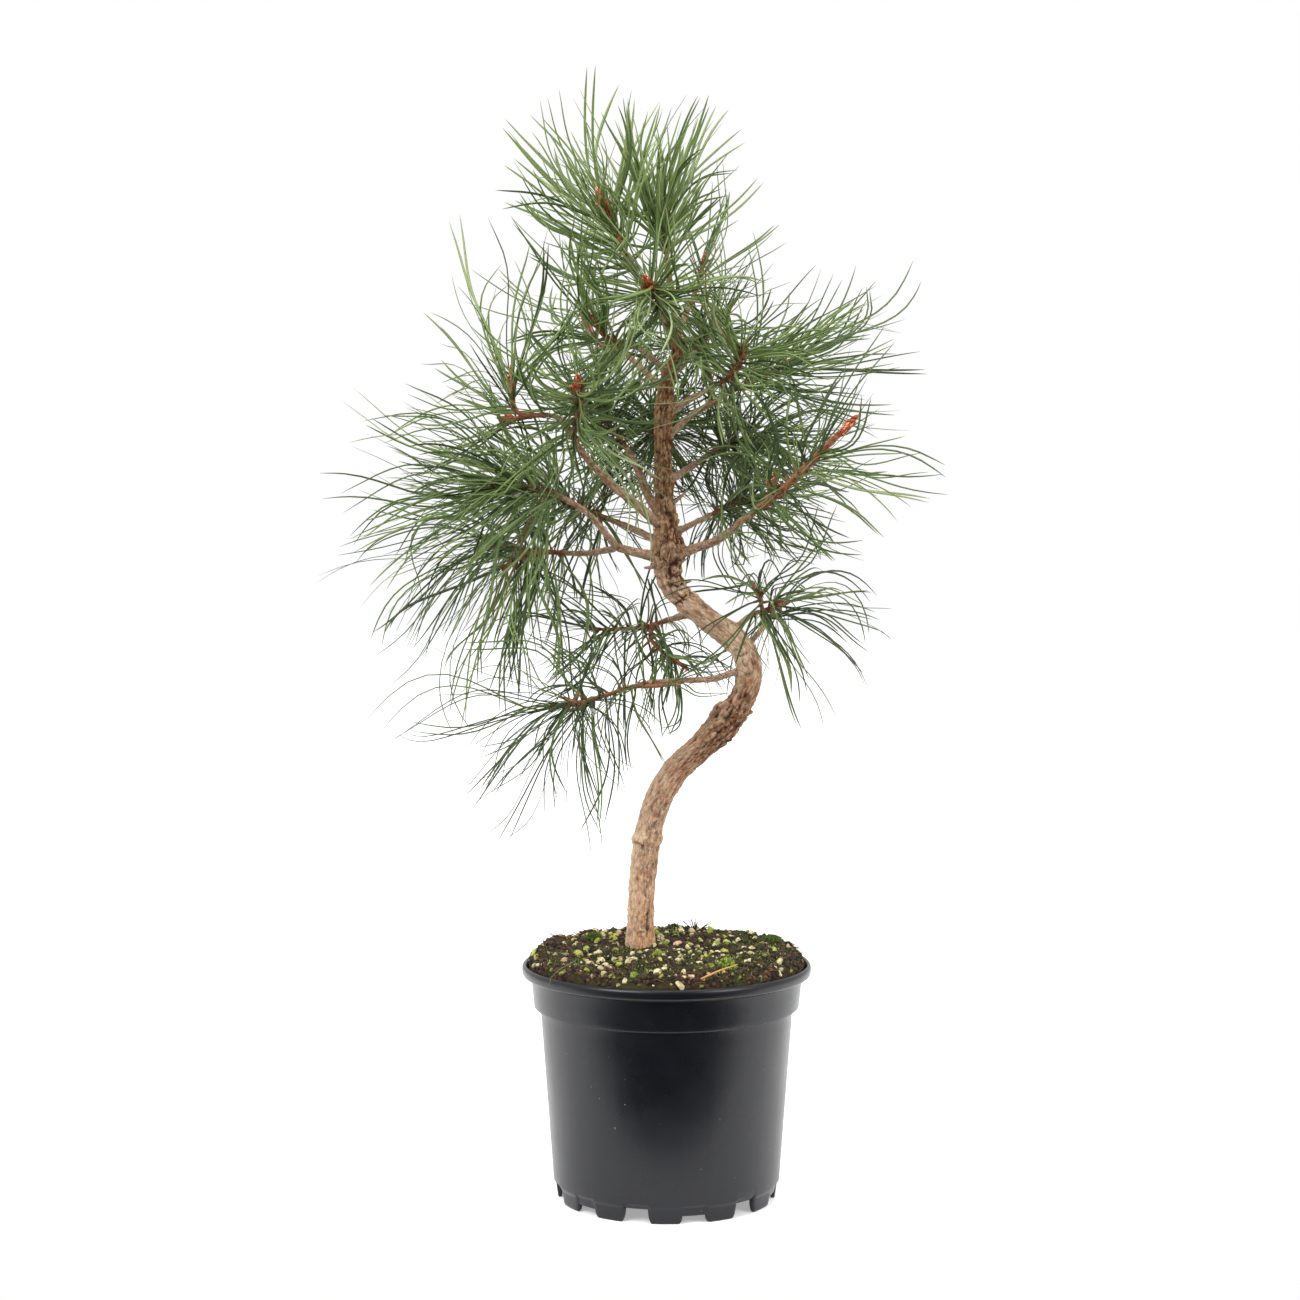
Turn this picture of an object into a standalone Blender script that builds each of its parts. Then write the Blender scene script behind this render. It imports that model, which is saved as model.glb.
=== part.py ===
"""A young long-needled pine with a snaking stem, standing in a black plant pot.

Metres, +Z up. The origin is the middle of the pot's underside, and -Y is the side that
the plant shows to the viewer, with +X to the viewer's right. Sizes below are in
millimetres, and MM turns them into metres where a mesh is made.
"""
import math

import bmesh
import bpy
import numpy as np

MM = 0.001
CLEARANCE = 0.3            # between two pieces that touch

# The pot: radius and height of its rings, outside from the foot up to the lip
POT_OUTER = [(71.5, 0.0), (72.5, 8.0), (74.4, 11.0), (82.9, 124.5), (86.0, 126.2), (87.4, 130.0),
             (89.0, 144.8), (94.0, 147.8), (95.0, 151.2)]
POT_LIP = (93.0, 155.0)
POT_INNER = [(91.2, 152.5), (86.8, 146.0), (85.2, 131.5), (80.6, 125.0), (72.4, 12.0)]
POT_FLOOR = 12.0           # height of the floor inside
UNDERFLOOR = 9.5           # height of the floor's lower side, between the feet and the middle pad
PAD_RADIUS = 30.0
FOOT_INNER = 69.0
FEET = 12
FOOT_TURN = -1.0           # degrees from the front to the nearest foot's middle
FOOT_WIDTH = 16.5          # degrees
FOOT_BATTER = 0.6          # how far the feet's inner side leans outward
PAD_BATTER = 2.0
CUTTER_REACH = (2.0, 5.0)  # how far a gap's cutter passes the feet, inward and outward
GAP_HEIGHTS = (9.3, 5.0)   # the gaps between the feet are deep and shallow in turn

# The root ball's top
SOIL_TOP = 165.0
SOIL_WALL = [(72.0, 12.3), (80.2, 125.2), (86.4, 146.2), (90.8, 152.6)]
SOIL_EDGE = [(90.3, 158.0), (85.0, 163.0), (74.0, SOIL_TOP)]

# The stem: x and z of its middle line, which stays in one upright plane, and its radius by height
TRUNK_LINE = [(-17, SOIL_TOP + CLEARANCE), (-17, 190), (-15, 218), (-10, 250), (3, 278), (27, 302),
              (46, 323), (54, 346), (46, 365), (18, 388), (3, 404), (1, 424), (0, 445), (-2, 470),
              (-2, 510), (1, 540), (7, 553), (5, 566)]
TRUNK_TAPER = [(165, 9.0), (300, 8.7), (346, 8.2), (385, 7.5), (410, 7.6), (440, 7.2), (460, 5.9),
               (510, 5.6), (535, 4.6), (553, 3.6), (566, 3.0)]
TRUNK_SWELLINGS = [(165, 1.0, 9.0), (236, 0.8, 5.0), (312, 1.3, 8.0), (425, 3.0, 10.0), (515, 0.9, 6.0)]
TRUNK_SIDES = 12
TRUNK_RINGS = 42

BOUGH_SIDES = 6
BOUGH_STEP = 11.0          # length between two rings
STEM_SIDES = 4
STEM_STEP = 10.0
CORE_RADIUS = 2.2          # of a stem or side shoot where its needles stand
CORE_TIP = 1.5

GOLDEN_TURN = math.radians(137.5)
LINE_STEPS = 8             # steps along a needle's line
PAIR_OPENING = 5.0         # degrees, half the angle between the two needles of a pair
NEEDLE_RINGS = (0, 4, 8)   # the steps that a solid needle keeps
NEEDLE_RADII = (1.1, 1.55) # at its root and its middle
NEEDLE_TIP = 0.3           # radius allowed for at its point
NEEDLE_SHARE = 0.42        # of all the plant's needles, the share that is made solid here
NEEDLE_GAP = 0.8           # from a needle to any other piece
ROOT_ZONE = 16.0           # length from its root in which a needle may meet its neighbours
OVERREACH = 26.0           # how far past the middle between two masses a needle may go
FAR_SHARE = 12             # one needle in so many is chosen for its far tip
CROWN_MIDDLE = (0.0, 0.0, 490.0)

# The resting bud at the tip of each shoot
BUD_LENGTH = 9.0
LONG_BUDS = {"needles_right_long": 15.0, "needles_mid_left_outer": 12.0, "needles_mid_left_front": 13.0,
             "needles_whorl_left_upper": 13.0, "needles_top_left": 13.0, "needles_top_right": 14.0,
             "needles_top_front": 13.0}
BUD_GIRTH = 0.19           # its largest radius as a share of its length
BUD_ROOT = 2.0             # length of it inside the shoot
BUD_SHAPE = [(0.0, 0.7), (0.35, 1.0), (0.7, 0.6), (1.0, 0.1)]  # share of its length, share of its girth


class Bough:
    """One tapering limb, from its foot on the trunk or on another bough's tip."""

    def __init__(self, foot, points, radii):
        self.foot = foot           # a height on the trunk, or the name of the bough it grows on from
        self.points = points
        self.radii = radii


class Mass:
    """One mass of foliage: the stem that grows on from a bough, its side shoots and its needles.

    The lengths, angles and droops of its needles are each given at the tip and at the base, and
    the zone is the part of each shoot that bears them.
    """

    def __init__(self, bough, stem, pairs, lengths, angles, droops, sweep=0.0, shoots=(), zone=(0.0, 1.0)):
        self.bough = bough
        self.stem = stem
        self.pairs = pairs
        self.lengths = lengths
        self.angles = angles
        self.droops = droops
        self.sweep = sweep
        self.shoots = shoots
        self.zone = zone


BOUGHS = {
    "bough_low_left": Bough(350, [(31, -8, 343), (5, -14, 342), (-13, -16, 341)], (2.3, 1.5)),
    "bough_mid_left": Bough(386, [(8, 8, 382), (1, 13, 380)], (2.4, 1.7)),
    "bough_whorl_left": Bough(420, [(-17, -2, 424), (-32, -6, 428)], (3.6, 2.6)),
    "bough_whorl_left_upper": Bough("bough_whorl_left", [(-41, -10, 439), (-52, -14, 451), (-68, -19, 461)],
                                    (2.4, 1.7)),
    "bough_whorl_left_lower": Bough("bough_whorl_left", [(-50, 4, 424), (-67, 10, 424)], (2.3, 1.8)),
    "bough_upper_left": Bough(438, [(-20, -8, 456), (-37, -17, 470), (-54, -28, 489), (-60, -33, 499)],
                              (3.4, 2.0)),
    "bough_upper_left_outer": Bough("bough_upper_left", [(-67, -38, 510), (-75, -41, 513)], (1.9, 1.5)),
    "bough_back_left": Bough(443, [(-12, 14, 461), (-19, 28, 478), (-26, 42, 492)], (3.4, 2.0)),
    "bough_back_left_low": Bough(428, [(-17, 22, 437), (-40, 42, 446)], (2.8, 1.8)),
    "bough_back_centre": Bough(478, [(-3, 22, 489), (-6, 42, 500)], (2.8, 1.8)),
    "bough_right_long": Bough(421, [(20, -4, 428), (35, -7, 434), (48, -10, 445), (56, -12, 451)],
                              (3.4, 2.2)),
    "bough_right_small": Bough(434, [(15, 7, 442), (30, 24, 449)], (2.3, 1.5)),
    "bough_right_upper": Bough(513, [(14, -2, 523), (32, -5, 533)], (2.6, 1.6)),
    "bough_right_upper_outer": Bough(497, [(18, 18, 515), (45, 34, 531)], (2.4, 1.6)),
    "bough_right_low": Bough(370, [(51, -3, 381), (56, -5, 385)], (2.4, 1.6)),
    "bough_right_low_back": Bough(361, [(59, 8, 370), (66, 18, 379)], (2.0, 1.4)),
    "bough_back_right": Bough(468, [(9, 12, 476), (19, 28, 482), (30, 42, 490)], (2.6, 1.7)),
    "bough_upper_back": Bough(538, [(10, 14, 546), (19, 30, 556)], (2.2, 1.6)),
    "bough_high_left": Bough(540, [(-12, -10, 552), (-24, -18, 559)], (2.2, 1.6)),
    "bough_high_left_back": Bough(528, [(-14, 18, 542), (-28, 36, 556)], (2.2, 1.6)),
    "bough_leader_left": Bough(563, [(-3, -2, 577), (-11, -4, 588)], (2.3, 1.8)),
    "bough_leader_right": Bough(563, [(5, 3, 577), (4, 5, 590)], (2.2, 1.8)),
    "bough_leader_front": Bough(562, [(3, -10, 570), (-2, -20, 579)], (2.2, 1.7)),
    "bough_leader_back": Bough(562, [(10, 12, 573), (15, 24, 586)], (2.2, 1.7)),
}

MASSES = {
    "needles_top_left": Mass("bough_leader_left", [(-21, -6, 606), (-32, -8, 628), (-40, -10, 646)],
                             27, (84, 94), (22, 76), (-0.3, -0.7), sweep=-0.2, zone=(0.3, 1.0)),
    "needles_top_right": Mass("bough_leader_right", [(0, 7, 615), (-3, 8, 643)],
                              24, (84, 86), (18, 50), (-0.2, -0.3), sweep=0.5, zone=(0.45, 1.0)),
    "needles_top_front": Mass("bough_leader_front", [(-6, -30, 586), (-11, -42, 594)],
                              27, (74, 80), (42, 108), (0.0, 0.8)),
    "needles_top_back": Mass("bough_leader_back", [(21, 38, 600), (25, 48, 617)],
                             7, (80, 78), (12, 66), (-0.2, 0.0)),
    "needles_upper_back": Mass("bough_upper_back", [(25, 42, 566), (29, 50, 571)],
                               26, (66, 76), (40, 108), (0.1, 0.5)),
    "needles_high_left": Mass("bough_high_left", [(-38, -26, 562), (-46, -32, 572)],
                              9, (94, 84), (12, 74), (-0.6, -0.3)),
    "needles_high_left_back": Mass("bough_high_left_back", [(-45, 55, 563), (-54, 64, 577)],
                                   9, (90, 80), (15, 84), (-0.8, -0.2)),
    "needles_upper_right": Mass("bough_right_upper", [(43, -6, 541), (49, -9, 555)],
                                20, (80, 88), (35, 108), (0.3, 0.4), sweep=0.2),
    "needles_right_upper_outer": Mass("bough_right_upper_outer", [(65, 42, 540), (82, 48, 549)],
                                      20, (104, 92), (12, 54), (0.1, 0.1), sweep=0.4),
    "needles_back_right": Mass("bough_back_right", [(47, 54, 497), (64, 62, 500)],
                               38, (74, 76), (32, 98), (0.0, 0.4), sweep=0.1),
    "needles_right_long": Mass("bough_right_long", [(75, -17, 466), (96, -22, 487), (112, -26, 503)],
                               28, (84, 76), (40, 90), (0.2, 0.2), sweep=0.2, zone=(0.0, 0.72),
                               shoots=[(0.18, [(66, -6, 460), (69, -2, 468)])]),
    "needles_right_small": Mass("bough_right_small", [(43, 38, 455), (56, 50, 459)],
                                32, (74, 70), (32, 100), (0.3, 0.6)),
    "needles_right_low": Mass("bough_right_low", [(65, -7, 388), (71, -8, 391)],
                              20, (84, 74), (24, 106), (0.8, 1.6),
                              shoots=[(0.4, [(61, -13, 392), (58, -17, 401)])]),
    "needles_right_low_back": Mass("bough_right_low_back", [(74, 30, 388), (79, 36, 389)],
                                   8, (100, 90), (25, 95), (1.1, 1.6)),
    "needles_mid_left_front": Mass("bough_upper_left", [(-56, -46, 517), (-56, -60, 530)],
                                   32, (82, 94), (55, 115), (-1.6, 1.4)),
    "needles_mid_left_outer": Mass("bough_upper_left_outer",
                                   [(-88, -46, 513), (-95, -50, 515), (-98, -51, 522), (-98, -51, 534)],
                                   13, (114, 100), (6, 56), (-0.4, 0.3), sweep=0.3, zone=(0.4, 1.0),
                                   shoots=[(0.2, [(-93, -39, 511), (-101, -35, 511)])]),
    "needles_back_left": Mass("bough_back_left", [(-38, 58, 508), (-46, 70, 522)],
                              34, (80, 80), (35, 104), (-0.4, 0.6)),
    "needles_back_left_low": Mass("bough_back_left_low", [(-63, 58, 455), (-80, 66, 459)],
                                  42, (84, 76), (30, 104), (0.0, 0.8)),
    "needles_back_centre": Mass("bough_back_centre", [(-5, 62, 506), (-2, 78, 508)],
                                48, (82, 80), (40, 110), (0.0, 0.8)),
    "needles_whorl_left_upper": Mass("bough_whorl_left_upper", [(-88, -26, 467), (-103, -32, 468)],
                                     50, (106, 92), (14, 84), (0.1, 0.6), sweep=-0.4),
    "needles_whorl_left_lower": Mass("bough_whorl_left_lower",
                                     [(-89, 16, 425), (-103, 20, 427), (-117, 24, 429)],
                                     40, (118, 112), (28, 92), (1.4, 2.6), sweep=-0.2,
                                     shoots=[(0.2, [(-88, 8, 424), (-104, -4, 416)])]),
    "needles_low_left": Mass("bough_low_left",
                             [(-30, -18, 336), (-46, -20, 331), (-62, -23, 327), (-71, -24, 326)],
                             39, (106, 70), (18, 104), (0.6, 1.6), sweep=0.2,
                             shoots=[(0.75, [(-59, -34, 330), (-66, -40, 333)]),
                                     (0.6, [(-54, -12, 327), (-60, -4, 322)]),
                                     (0.1, [(-17, -24, 339), (-6, -29, 340), (6, -30, 341)])]),
    "needles_mid_left": Mass("bough_mid_left", [(-14, 20, 375), (-32, 28, 373), (-48, 36, 372)],
                             42, (68, 58), (30, 112), (0.4, 1.3),
                             shoots=[(0.2, [(-10, 12, 366), (2, 6, 356), (12, 3, 349)])]),
}


def clear_scene():
    """Start from an empty scene."""
    for item in list(bpy.data.objects):
        bpy.data.objects.remove(item, do_unlink=True)


def material(name, colour, roughness):
    """A plain Principled material."""
    made = bpy.data.materials.new(name)
    made.use_nodes = True
    shader = made.node_tree.nodes["Principled BSDF"]
    shader.inputs["Base Color"].default_value = (*colour, 1.0)
    shader.inputs["Roughness"].default_value = roughness
    shader.inputs["Metallic"].default_value = 0.0
    made.diffuse_color = (*colour, 1.0)
    return made


def mesh_object(name, points, faces, finish=None):
    """A mesh object from points in millimetres."""
    mesh = bpy.data.meshes.new(name)
    mesh.from_pydata((np.asarray(points) * MM).tolist(), [], faces)
    mesh.update()
    made = bpy.data.objects.new(name, mesh)
    bpy.context.scene.collection.objects.link(made)
    if finish:
        mesh.materials.append(finish)
    return made


def apply_modifiers(piece):
    """Put the modified mesh in place of the piece's own."""
    depsgraph = bpy.context.evaluated_depsgraph_get()
    result = bpy.data.meshes.new_from_object(piece.evaluated_get(depsgraph))
    piece.modifiers.clear()
    piece.data = result


def combine(piece, other, operation, solver="EXACT"):
    """Cut the other object away from the piece, or fuse the other collection with it."""
    change = piece.modifiers.new(operation.title(), "BOOLEAN")
    change.operation = operation
    change.solver = solver
    if isinstance(other, bpy.types.Collection):
        change.operand_type = "COLLECTION"
        change.collection = other
        parts = list(other.objects)
    else:
        change.object = other
        parts = [other]
    apply_modifiers(piece)
    for part in parts:
        bpy.data.objects.remove(part, do_unlink=True)


def keep_main_body(piece):
    """Drop loose scraps, and with them the walls of hollows that fusing has sealed."""
    work = bmesh.new()
    work.from_mesh(piece.data)
    unseen = set(work.faces)
    islands = []
    while unseen:
        island = {unseen.pop()}
        edge_of_search = list(island)
        while edge_of_search:
            face = edge_of_search.pop()
            for other in (near for edge in face.edges for near in edge.link_faces):
                if other in unseen:
                    unseen.remove(other)
                    island.add(other)
                    edge_of_search.append(other)
        islands.append(island)
    islands.sort(key=len)
    for scrap in islands[:-1]:
        bmesh.ops.delete(work, geom=list(scrap), context="FACES")
    work.to_mesh(piece.data)
    work.free()


def unit(vectors):
    """The vectors at length one."""
    return vectors / np.maximum(np.linalg.norm(vectors, axis=-1, keepdims=True), 1e-9)


def smooth_line(points, count):
    """A Catmull-Rom curve through the points, read at even steps of its length."""
    points = np.asarray(points, float)
    ends = np.vstack([2 * points[0] - points[1], points, 2 * points[-1] - points[-2]])
    t = np.linspace(0.0, 1.0, 12, endpoint=False)[:, None]
    runs = []
    for a, b, c, d in zip(ends[:-3], ends[1:-2], ends[2:-1], ends[3:]):
        runs.append(0.5 * (2 * b + (c - a) * t + (2 * a - 5 * b + 4 * c - d) * t ** 2
                           + (3 * b - a - 3 * c + d) * t ** 3))
    fine = np.vstack(runs + [points[-1:]])
    length = np.r_[0.0, np.cumsum(np.linalg.norm(np.diff(fine, axis=0), axis=1))]
    places = np.linspace(0.0, length[-1], count)
    return np.stack([np.interp(places, length, fine[:, k]) for k in range(fine.shape[1])], 1)


def line_length(line):
    """The length of a line of points."""
    return float(np.linalg.norm(np.diff(line, axis=0), axis=1).sum())


def tube(name, line, radii, sides, finish=None, level_foot=False):
    """A closed tube round a line. Its rings turn with the line and do not twist."""
    line = np.asarray(line, float)
    radii = np.broadcast_to(radii, len(line))
    along = unit(np.gradient(line, axis=0))
    if level_foot:
        along[0] = (0.0, 0.0, 1.0)
    side = np.cross(along[0], (0.0, 1.0, 0.0) if abs(along[0][1]) < 0.8 else (1.0, 0.0, 0.0))
    turns = 2 * math.pi * np.arange(sides) / sides
    points = []
    for centre, ahead, radius in zip(line, along, radii):
        side = unit(side - ahead * np.dot(side, ahead))
        across = np.cross(ahead, side)
        points.append(centre + radius * (np.outer(np.cos(turns), side) + np.outer(np.sin(turns), across)))
    points = np.vstack(points)
    faces = [tuple(range(sides))[::-1]]
    for ring in range(len(line) - 1):
        low = ring * sides
        for k in range(sides):
            after = (k + 1) % sides
            faces.append((low + k, low + after, low + sides + after, low + sides + k))
    faces.append(tuple(range((len(line) - 1) * sides, len(line) * sides)))
    return mesh_object(name, points, faces, finish)


def swollen(name, line, radii, sides):
    """A tube that stands off the same tube by the clearance, as a cutter."""
    line = np.array(line, float)
    line[0] -= unit(line[1] - line[0]) * CLEARANCE
    line[-1] += unit(line[-1] - line[-2]) * CLEARANCE
    grow = CLEARANCE / math.cos(math.pi / sides)
    cutter = tube(name, line, np.asarray(radii) + grow, sides)
    cutter.hide_render = True
    cutter.display_type = "WIRE"
    return cutter


def lathe(name, profile, turns, finish):
    """A closed solid turned from a profile that starts and ends on the axis."""
    rings = profile[1:-1]
    points = [(0.0, 0.0, profile[0][1]), (0.0, 0.0, profile[-1][1])]
    for radius, height in rings:
        points += [(radius * math.sin(a), -radius * math.cos(a), height) for a in turns]
    count = len(turns)
    faces = []
    for k in range(count):
        after = (k + 1) % count
        faces.append((0, 2 + after, 2 + k))
        for ring in range(len(rings) - 1):
            low = 2 + ring * count
            faces.append((low + k, low + after, low + count + after, low + count + k))
        last = 2 + (len(rings) - 1) * count
        faces.append((1, last + k, last + after))
    made = mesh_object(name, points, faces, finish)
    made.data.shade_smooth()
    made.data.set_sharp_from_angle(angle=math.radians(30))
    return made


def ring_turns():
    """Angles from the front of the pot's and soil's edges, two to a foot and two to a gap."""
    pitch = 360.0 / FEET
    half = FOOT_WIDTH / 2
    steps = (-half, 0.0, half, pitch / 2)
    return [math.radians(FOOT_TURN + pitch * foot + step) for foot in range(FEET) for step in steps]


def gap_cutter(name, turn, height):
    """A block that cuts one gap between two feet of the pot."""
    half = math.radians(360.0 / FEET - FOOT_WIDTH) / 2
    corners = []
    for radius in (FOOT_INNER - CUTTER_REACH[0], POT_OUTER[0][0] + CUTTER_REACH[1]):
        for side in (-half, half):
            corners.append((radius * math.sin(turn + side), -radius * math.cos(turn + side)))
    points = [(x, y, z) for z in (-CUTTER_REACH[0], height) for x, y in corners]
    faces = [(0, 1, 3, 2), (4, 6, 7, 5), (0, 4, 5, 1), (2, 3, 7, 6), (0, 2, 6, 4), (1, 5, 7, 3)]
    return mesh_object(name, points, faces)


def build_pot(finish):
    """The pot: a turned wall with a rolled lip and a band, on a ring of twelve feet and a middle pad."""
    profile = [(0.0, 0.0), (PAD_RADIUS, 0.0), (PAD_RADIUS + PAD_BATTER, UNDERFLOOR),
               (FOOT_INNER + FOOT_BATTER, UNDERFLOOR), (FOOT_INNER, 0.0)]
    profile += POT_OUTER + [POT_LIP] + POT_INNER + [(0.0, POT_FLOOR)]
    pot = lathe("pot", profile, ring_turns(), finish)
    gaps = bpy.data.collections.new("gaps")
    pitch = 2 * math.pi / FEET
    for foot in range(FEET):
        turn = math.radians(FOOT_TURN) + pitch * (foot - 0.5)
        cutter = gap_cutter(f"gap_{foot}", turn, GAP_HEIGHTS[foot % 2])
        bpy.context.scene.collection.objects.unlink(cutter)
        gaps.objects.link(cutter)
    combine(pot, gaps, "DIFFERENCE")
    bpy.data.collections.remove(gaps)
    return pot


def build_soil(finish):
    """The root ball, which fills the pot and domes a little above its lip."""
    profile = [(0.0, SOIL_WALL[0][1])] + SOIL_WALL + SOIL_EDGE + [(0.0, SOIL_TOP)]
    return lathe("soil", profile, ring_turns(), finish)


def trunk_radius(height):
    """The stem's radius: an even taper with a swelling at the root flare, each ring and each whorl."""
    radius = np.interp(height, *zip(*TRUNK_TAPER))
    for middle, extra, reach in TRUNK_SWELLINGS:
        radius = radius + extra * np.exp(-((height - middle) / reach) ** 2)
    return radius


def limb_lines():
    """The middle line and the radii of the trunk and of each bough, in the order they are made."""
    trunk = smooth_line([(x, 0.0, z) for x, z in TRUNK_LINE], TRUNK_RINGS)
    limbs = {"trunk": (trunk, trunk_radius(trunk[:, 2]), TRUNK_SIDES)}
    for name, bough in BOUGHS.items():
        if isinstance(bough.foot, str):
            foot = limbs[bough.foot][0][-1]
        else:
            foot = (np.interp(bough.foot, trunk[:, 2], trunk[:, 0]), 0.0, bough.foot)
        guide = [foot] + bough.points
        rings = max(4, round(line_length(np.array(guide)) / BOUGH_STEP) + 1)
        line = smooth_line(guide, rings)
        limbs[name] = (line, np.linspace(*bough.radii, rings), BOUGH_SIDES)
    return limbs


def shoot_lines(mass, limbs):
    """The lines of a mass's stem and side shoots with their radii. The stem grows on from its bough."""
    line, radii, _ = limbs[mass.bough]
    shoots = []
    stem = smooth_line([line[-1]] + list(mass.stem), 20)
    for guide in [stem] + [[stem[round(19 * share)]] + points for share, points in mass.shoots]:
        rings = max(4, round(line_length(np.array(guide)) / STEM_STEP) + 1)
        core = np.full(rings, CORE_RADIUS)
        core[0] = radii[-1] * 0.92
        core[-1] = CORE_TIP
        shoots.append((smooth_line(guide, rings), core))
    return shoots


def needle_lines(shoot, pairs, mass, chance):
    """The middle lines of the needles on one shoot, as an array of needles by steps by x, y and z.

    A pair of needles leaves the shoot every golden turn. Its length, its angle off the shoot and
    its droop change evenly from the shoot's base to its tip. Each needle then leans step by step
    towards the shoot's own way, down by the droop, to the side by the sweep and a little at
    random, and swings from side to side once.
    """
    fine = smooth_line(shoot, 40)
    share = np.linspace(0.0, 1.0, 40)
    order = (np.arange(pairs) + chance.uniform(0.2, 0.8, pairs)) / pairs
    first, last = mass.zone
    place = first + (last - first) * order ** 0.8
    ahead = np.minimum(place + 0.05, 1.0)
    root, front, back = (np.stack([np.interp(at, share, fine[:, k]) for k in range(3)], 1)
                         for at in (place, ahead, ahead - 0.1))
    axis = unit(front - back)
    level = np.where(np.abs(axis[:, 2:3]) < 0.9, [[0.0, 0.0, 1.0]], [[1.0, 0.0, 0.0]])
    across = unit(np.cross(axis, level))
    turn = np.arange(pairs) * GOLDEN_TURN + chance.normal(0.0, 0.25, pairs)
    out = across * np.cos(turn)[:, None] + np.cross(axis, across) * np.sin(turn)[:, None]
    angle, length, droop = (np.interp(order, (0, 1), pair[::-1])
                            for pair in (mass.angles, mass.lengths, mass.droops))
    angle = np.radians(angle + chance.normal(0.0, 12.0, pairs))[:, None]
    way = axis * np.cos(angle) + out * np.sin(angle)
    side = unit(np.cross(way, out) + 1e-6)
    length = length * chance.normal(0.97, 0.13, pairs).clip(0.6, 1.15)
    lines = []
    pull = np.stack([np.full(pairs, mass.sweep), np.zeros(pairs), -droop], 1) + axis * 0.3
    pull = pull + chance.normal(0.0, 0.5, (pairs, 3))
    wave = chance.normal(0.0, 0.24, (pairs, 3))
    for hand in (-1.0, 1.0):
        opening = (hand * math.radians(PAIR_OPENING) * chance.uniform(0.3, 1.2, pairs))[:, None]
        start = unit(way * np.cos(opening) + side * np.sin(opening))
        bend = pull + chance.normal(0.0, 0.16, (pairs, 3))
        stride = (length * chance.uniform(0.93, 1.05, pairs) / LINE_STEPS)[:, None]
        points = [root]
        for step in range(LINE_STEPS):
            share = (step + 0.5) / LINE_STEPS
            points.append(points[-1] + unit(start + bend * share + wave * math.sin(5.5 * share)) * stride)
        lines.append(np.stack(points, 1))
    return np.concatenate(lines)


def bud_lines(name, shoots):
    """The middle lines and radii of the buds at the tips of a mass's stem and side shoots."""
    length = LONG_BUDS.get(name, BUD_LENGTH)
    places, girths = np.array(BUD_SHAPE).T
    buds = []
    for line, _ in shoots:
        way = unit(line[-1] - line[-2])
        buds.append((line[-1] + np.outer(places * length - BUD_ROOT, way), girths * length * BUD_GIRTH))
    return buds


def dense_points(line, radii, step=1.6):
    """Points along a line at small steps, each with its radius as a fourth number."""
    both = np.column_stack([line, np.broadcast_to(radii, len(line))])
    parts = []
    for a, b in zip(both[:-1], both[1:]):
        count = max(2, math.ceil(np.linalg.norm(b[:3] - a[:3]) / step) + 1)
        parts.append(a + (b - a) * np.linspace(0.0, 1.0, count)[:, None])
    return np.vstack(parts)


def is_clear(points, others):
    """Whether points with radii keep the needle gap from others with radii."""
    if not len(others):
        return True
    reach = points[:, 3].max() + others[:, 3].max() + 2 * NEEDLE_GAP
    low = points[:, :3].min(0) - reach
    high = points[:, :3].max(0) + reach
    close = others[((others[:, :3] > low) & (others[:, :3] < high)).all(1)]
    if not len(close):
        return True
    apart = np.linalg.norm(points[:, None, :3] - close[None, :, :3], axis=2)
    return bool((apart > points[:, None, 3] + close[None, :, 3] + NEEDLE_GAP).all())


def keeps_to_its_space(line, own_shoots, other_shoots):
    """Whether a needle's outer half stays nearer to its own mass than to the others, give or take."""
    for point in line[len(line) // 2:]:
        own = np.linalg.norm(own_shoots - point, axis=1).min()
        other = np.linalg.norm(other_shoots - point, axis=1).min()
        if own > other + OVERREACH:
            return False
    return True


def solid_needle(name, line):
    """A three-sided needle that tapers to a point, from its sunk root."""
    rings = line[list(NEEDLE_RINGS)]
    along = unit(np.gradient(rings, axis=0))
    side = np.cross(along[0], (0.0, 0.0, 1.0) if abs(along[0][2]) < 0.8 else (1.0, 0.0, 0.0))
    turns = 2 * math.pi * np.arange(3) / 3
    points = []
    for centre, ahead, radius in zip(rings, along, NEEDLE_RADII):
        side = unit(side - ahead * np.dot(side, ahead))
        across = np.cross(ahead, side)
        points.append(centre + radius * (np.outer(np.cos(turns), side) + np.outer(np.sin(turns), across)))
    points = np.vstack(points + [rings[-1:]])
    faces = [(2, 1, 0), (0, 1, 4, 3), (1, 2, 5, 4), (2, 0, 3, 5), (3, 4, 6), (4, 5, 6), (5, 3, 6)]
    return mesh_object(name, points, faces)


def reach_order(lines):
    """Needle numbers with the furthest tips first, then an even spread of the rest."""
    reach = np.linalg.norm(lines[:, -1] - CROWN_MIDDLE, axis=1)
    far_first = np.argsort(-reach)
    lead = far_first[:max(2, len(lines) // FAR_SHARE)]
    rest = [k for k in np.argsort((np.arange(len(lines)) * 0.618034) % 1.0) if k not in set(lead)]
    return list(lead) + rest


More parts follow.
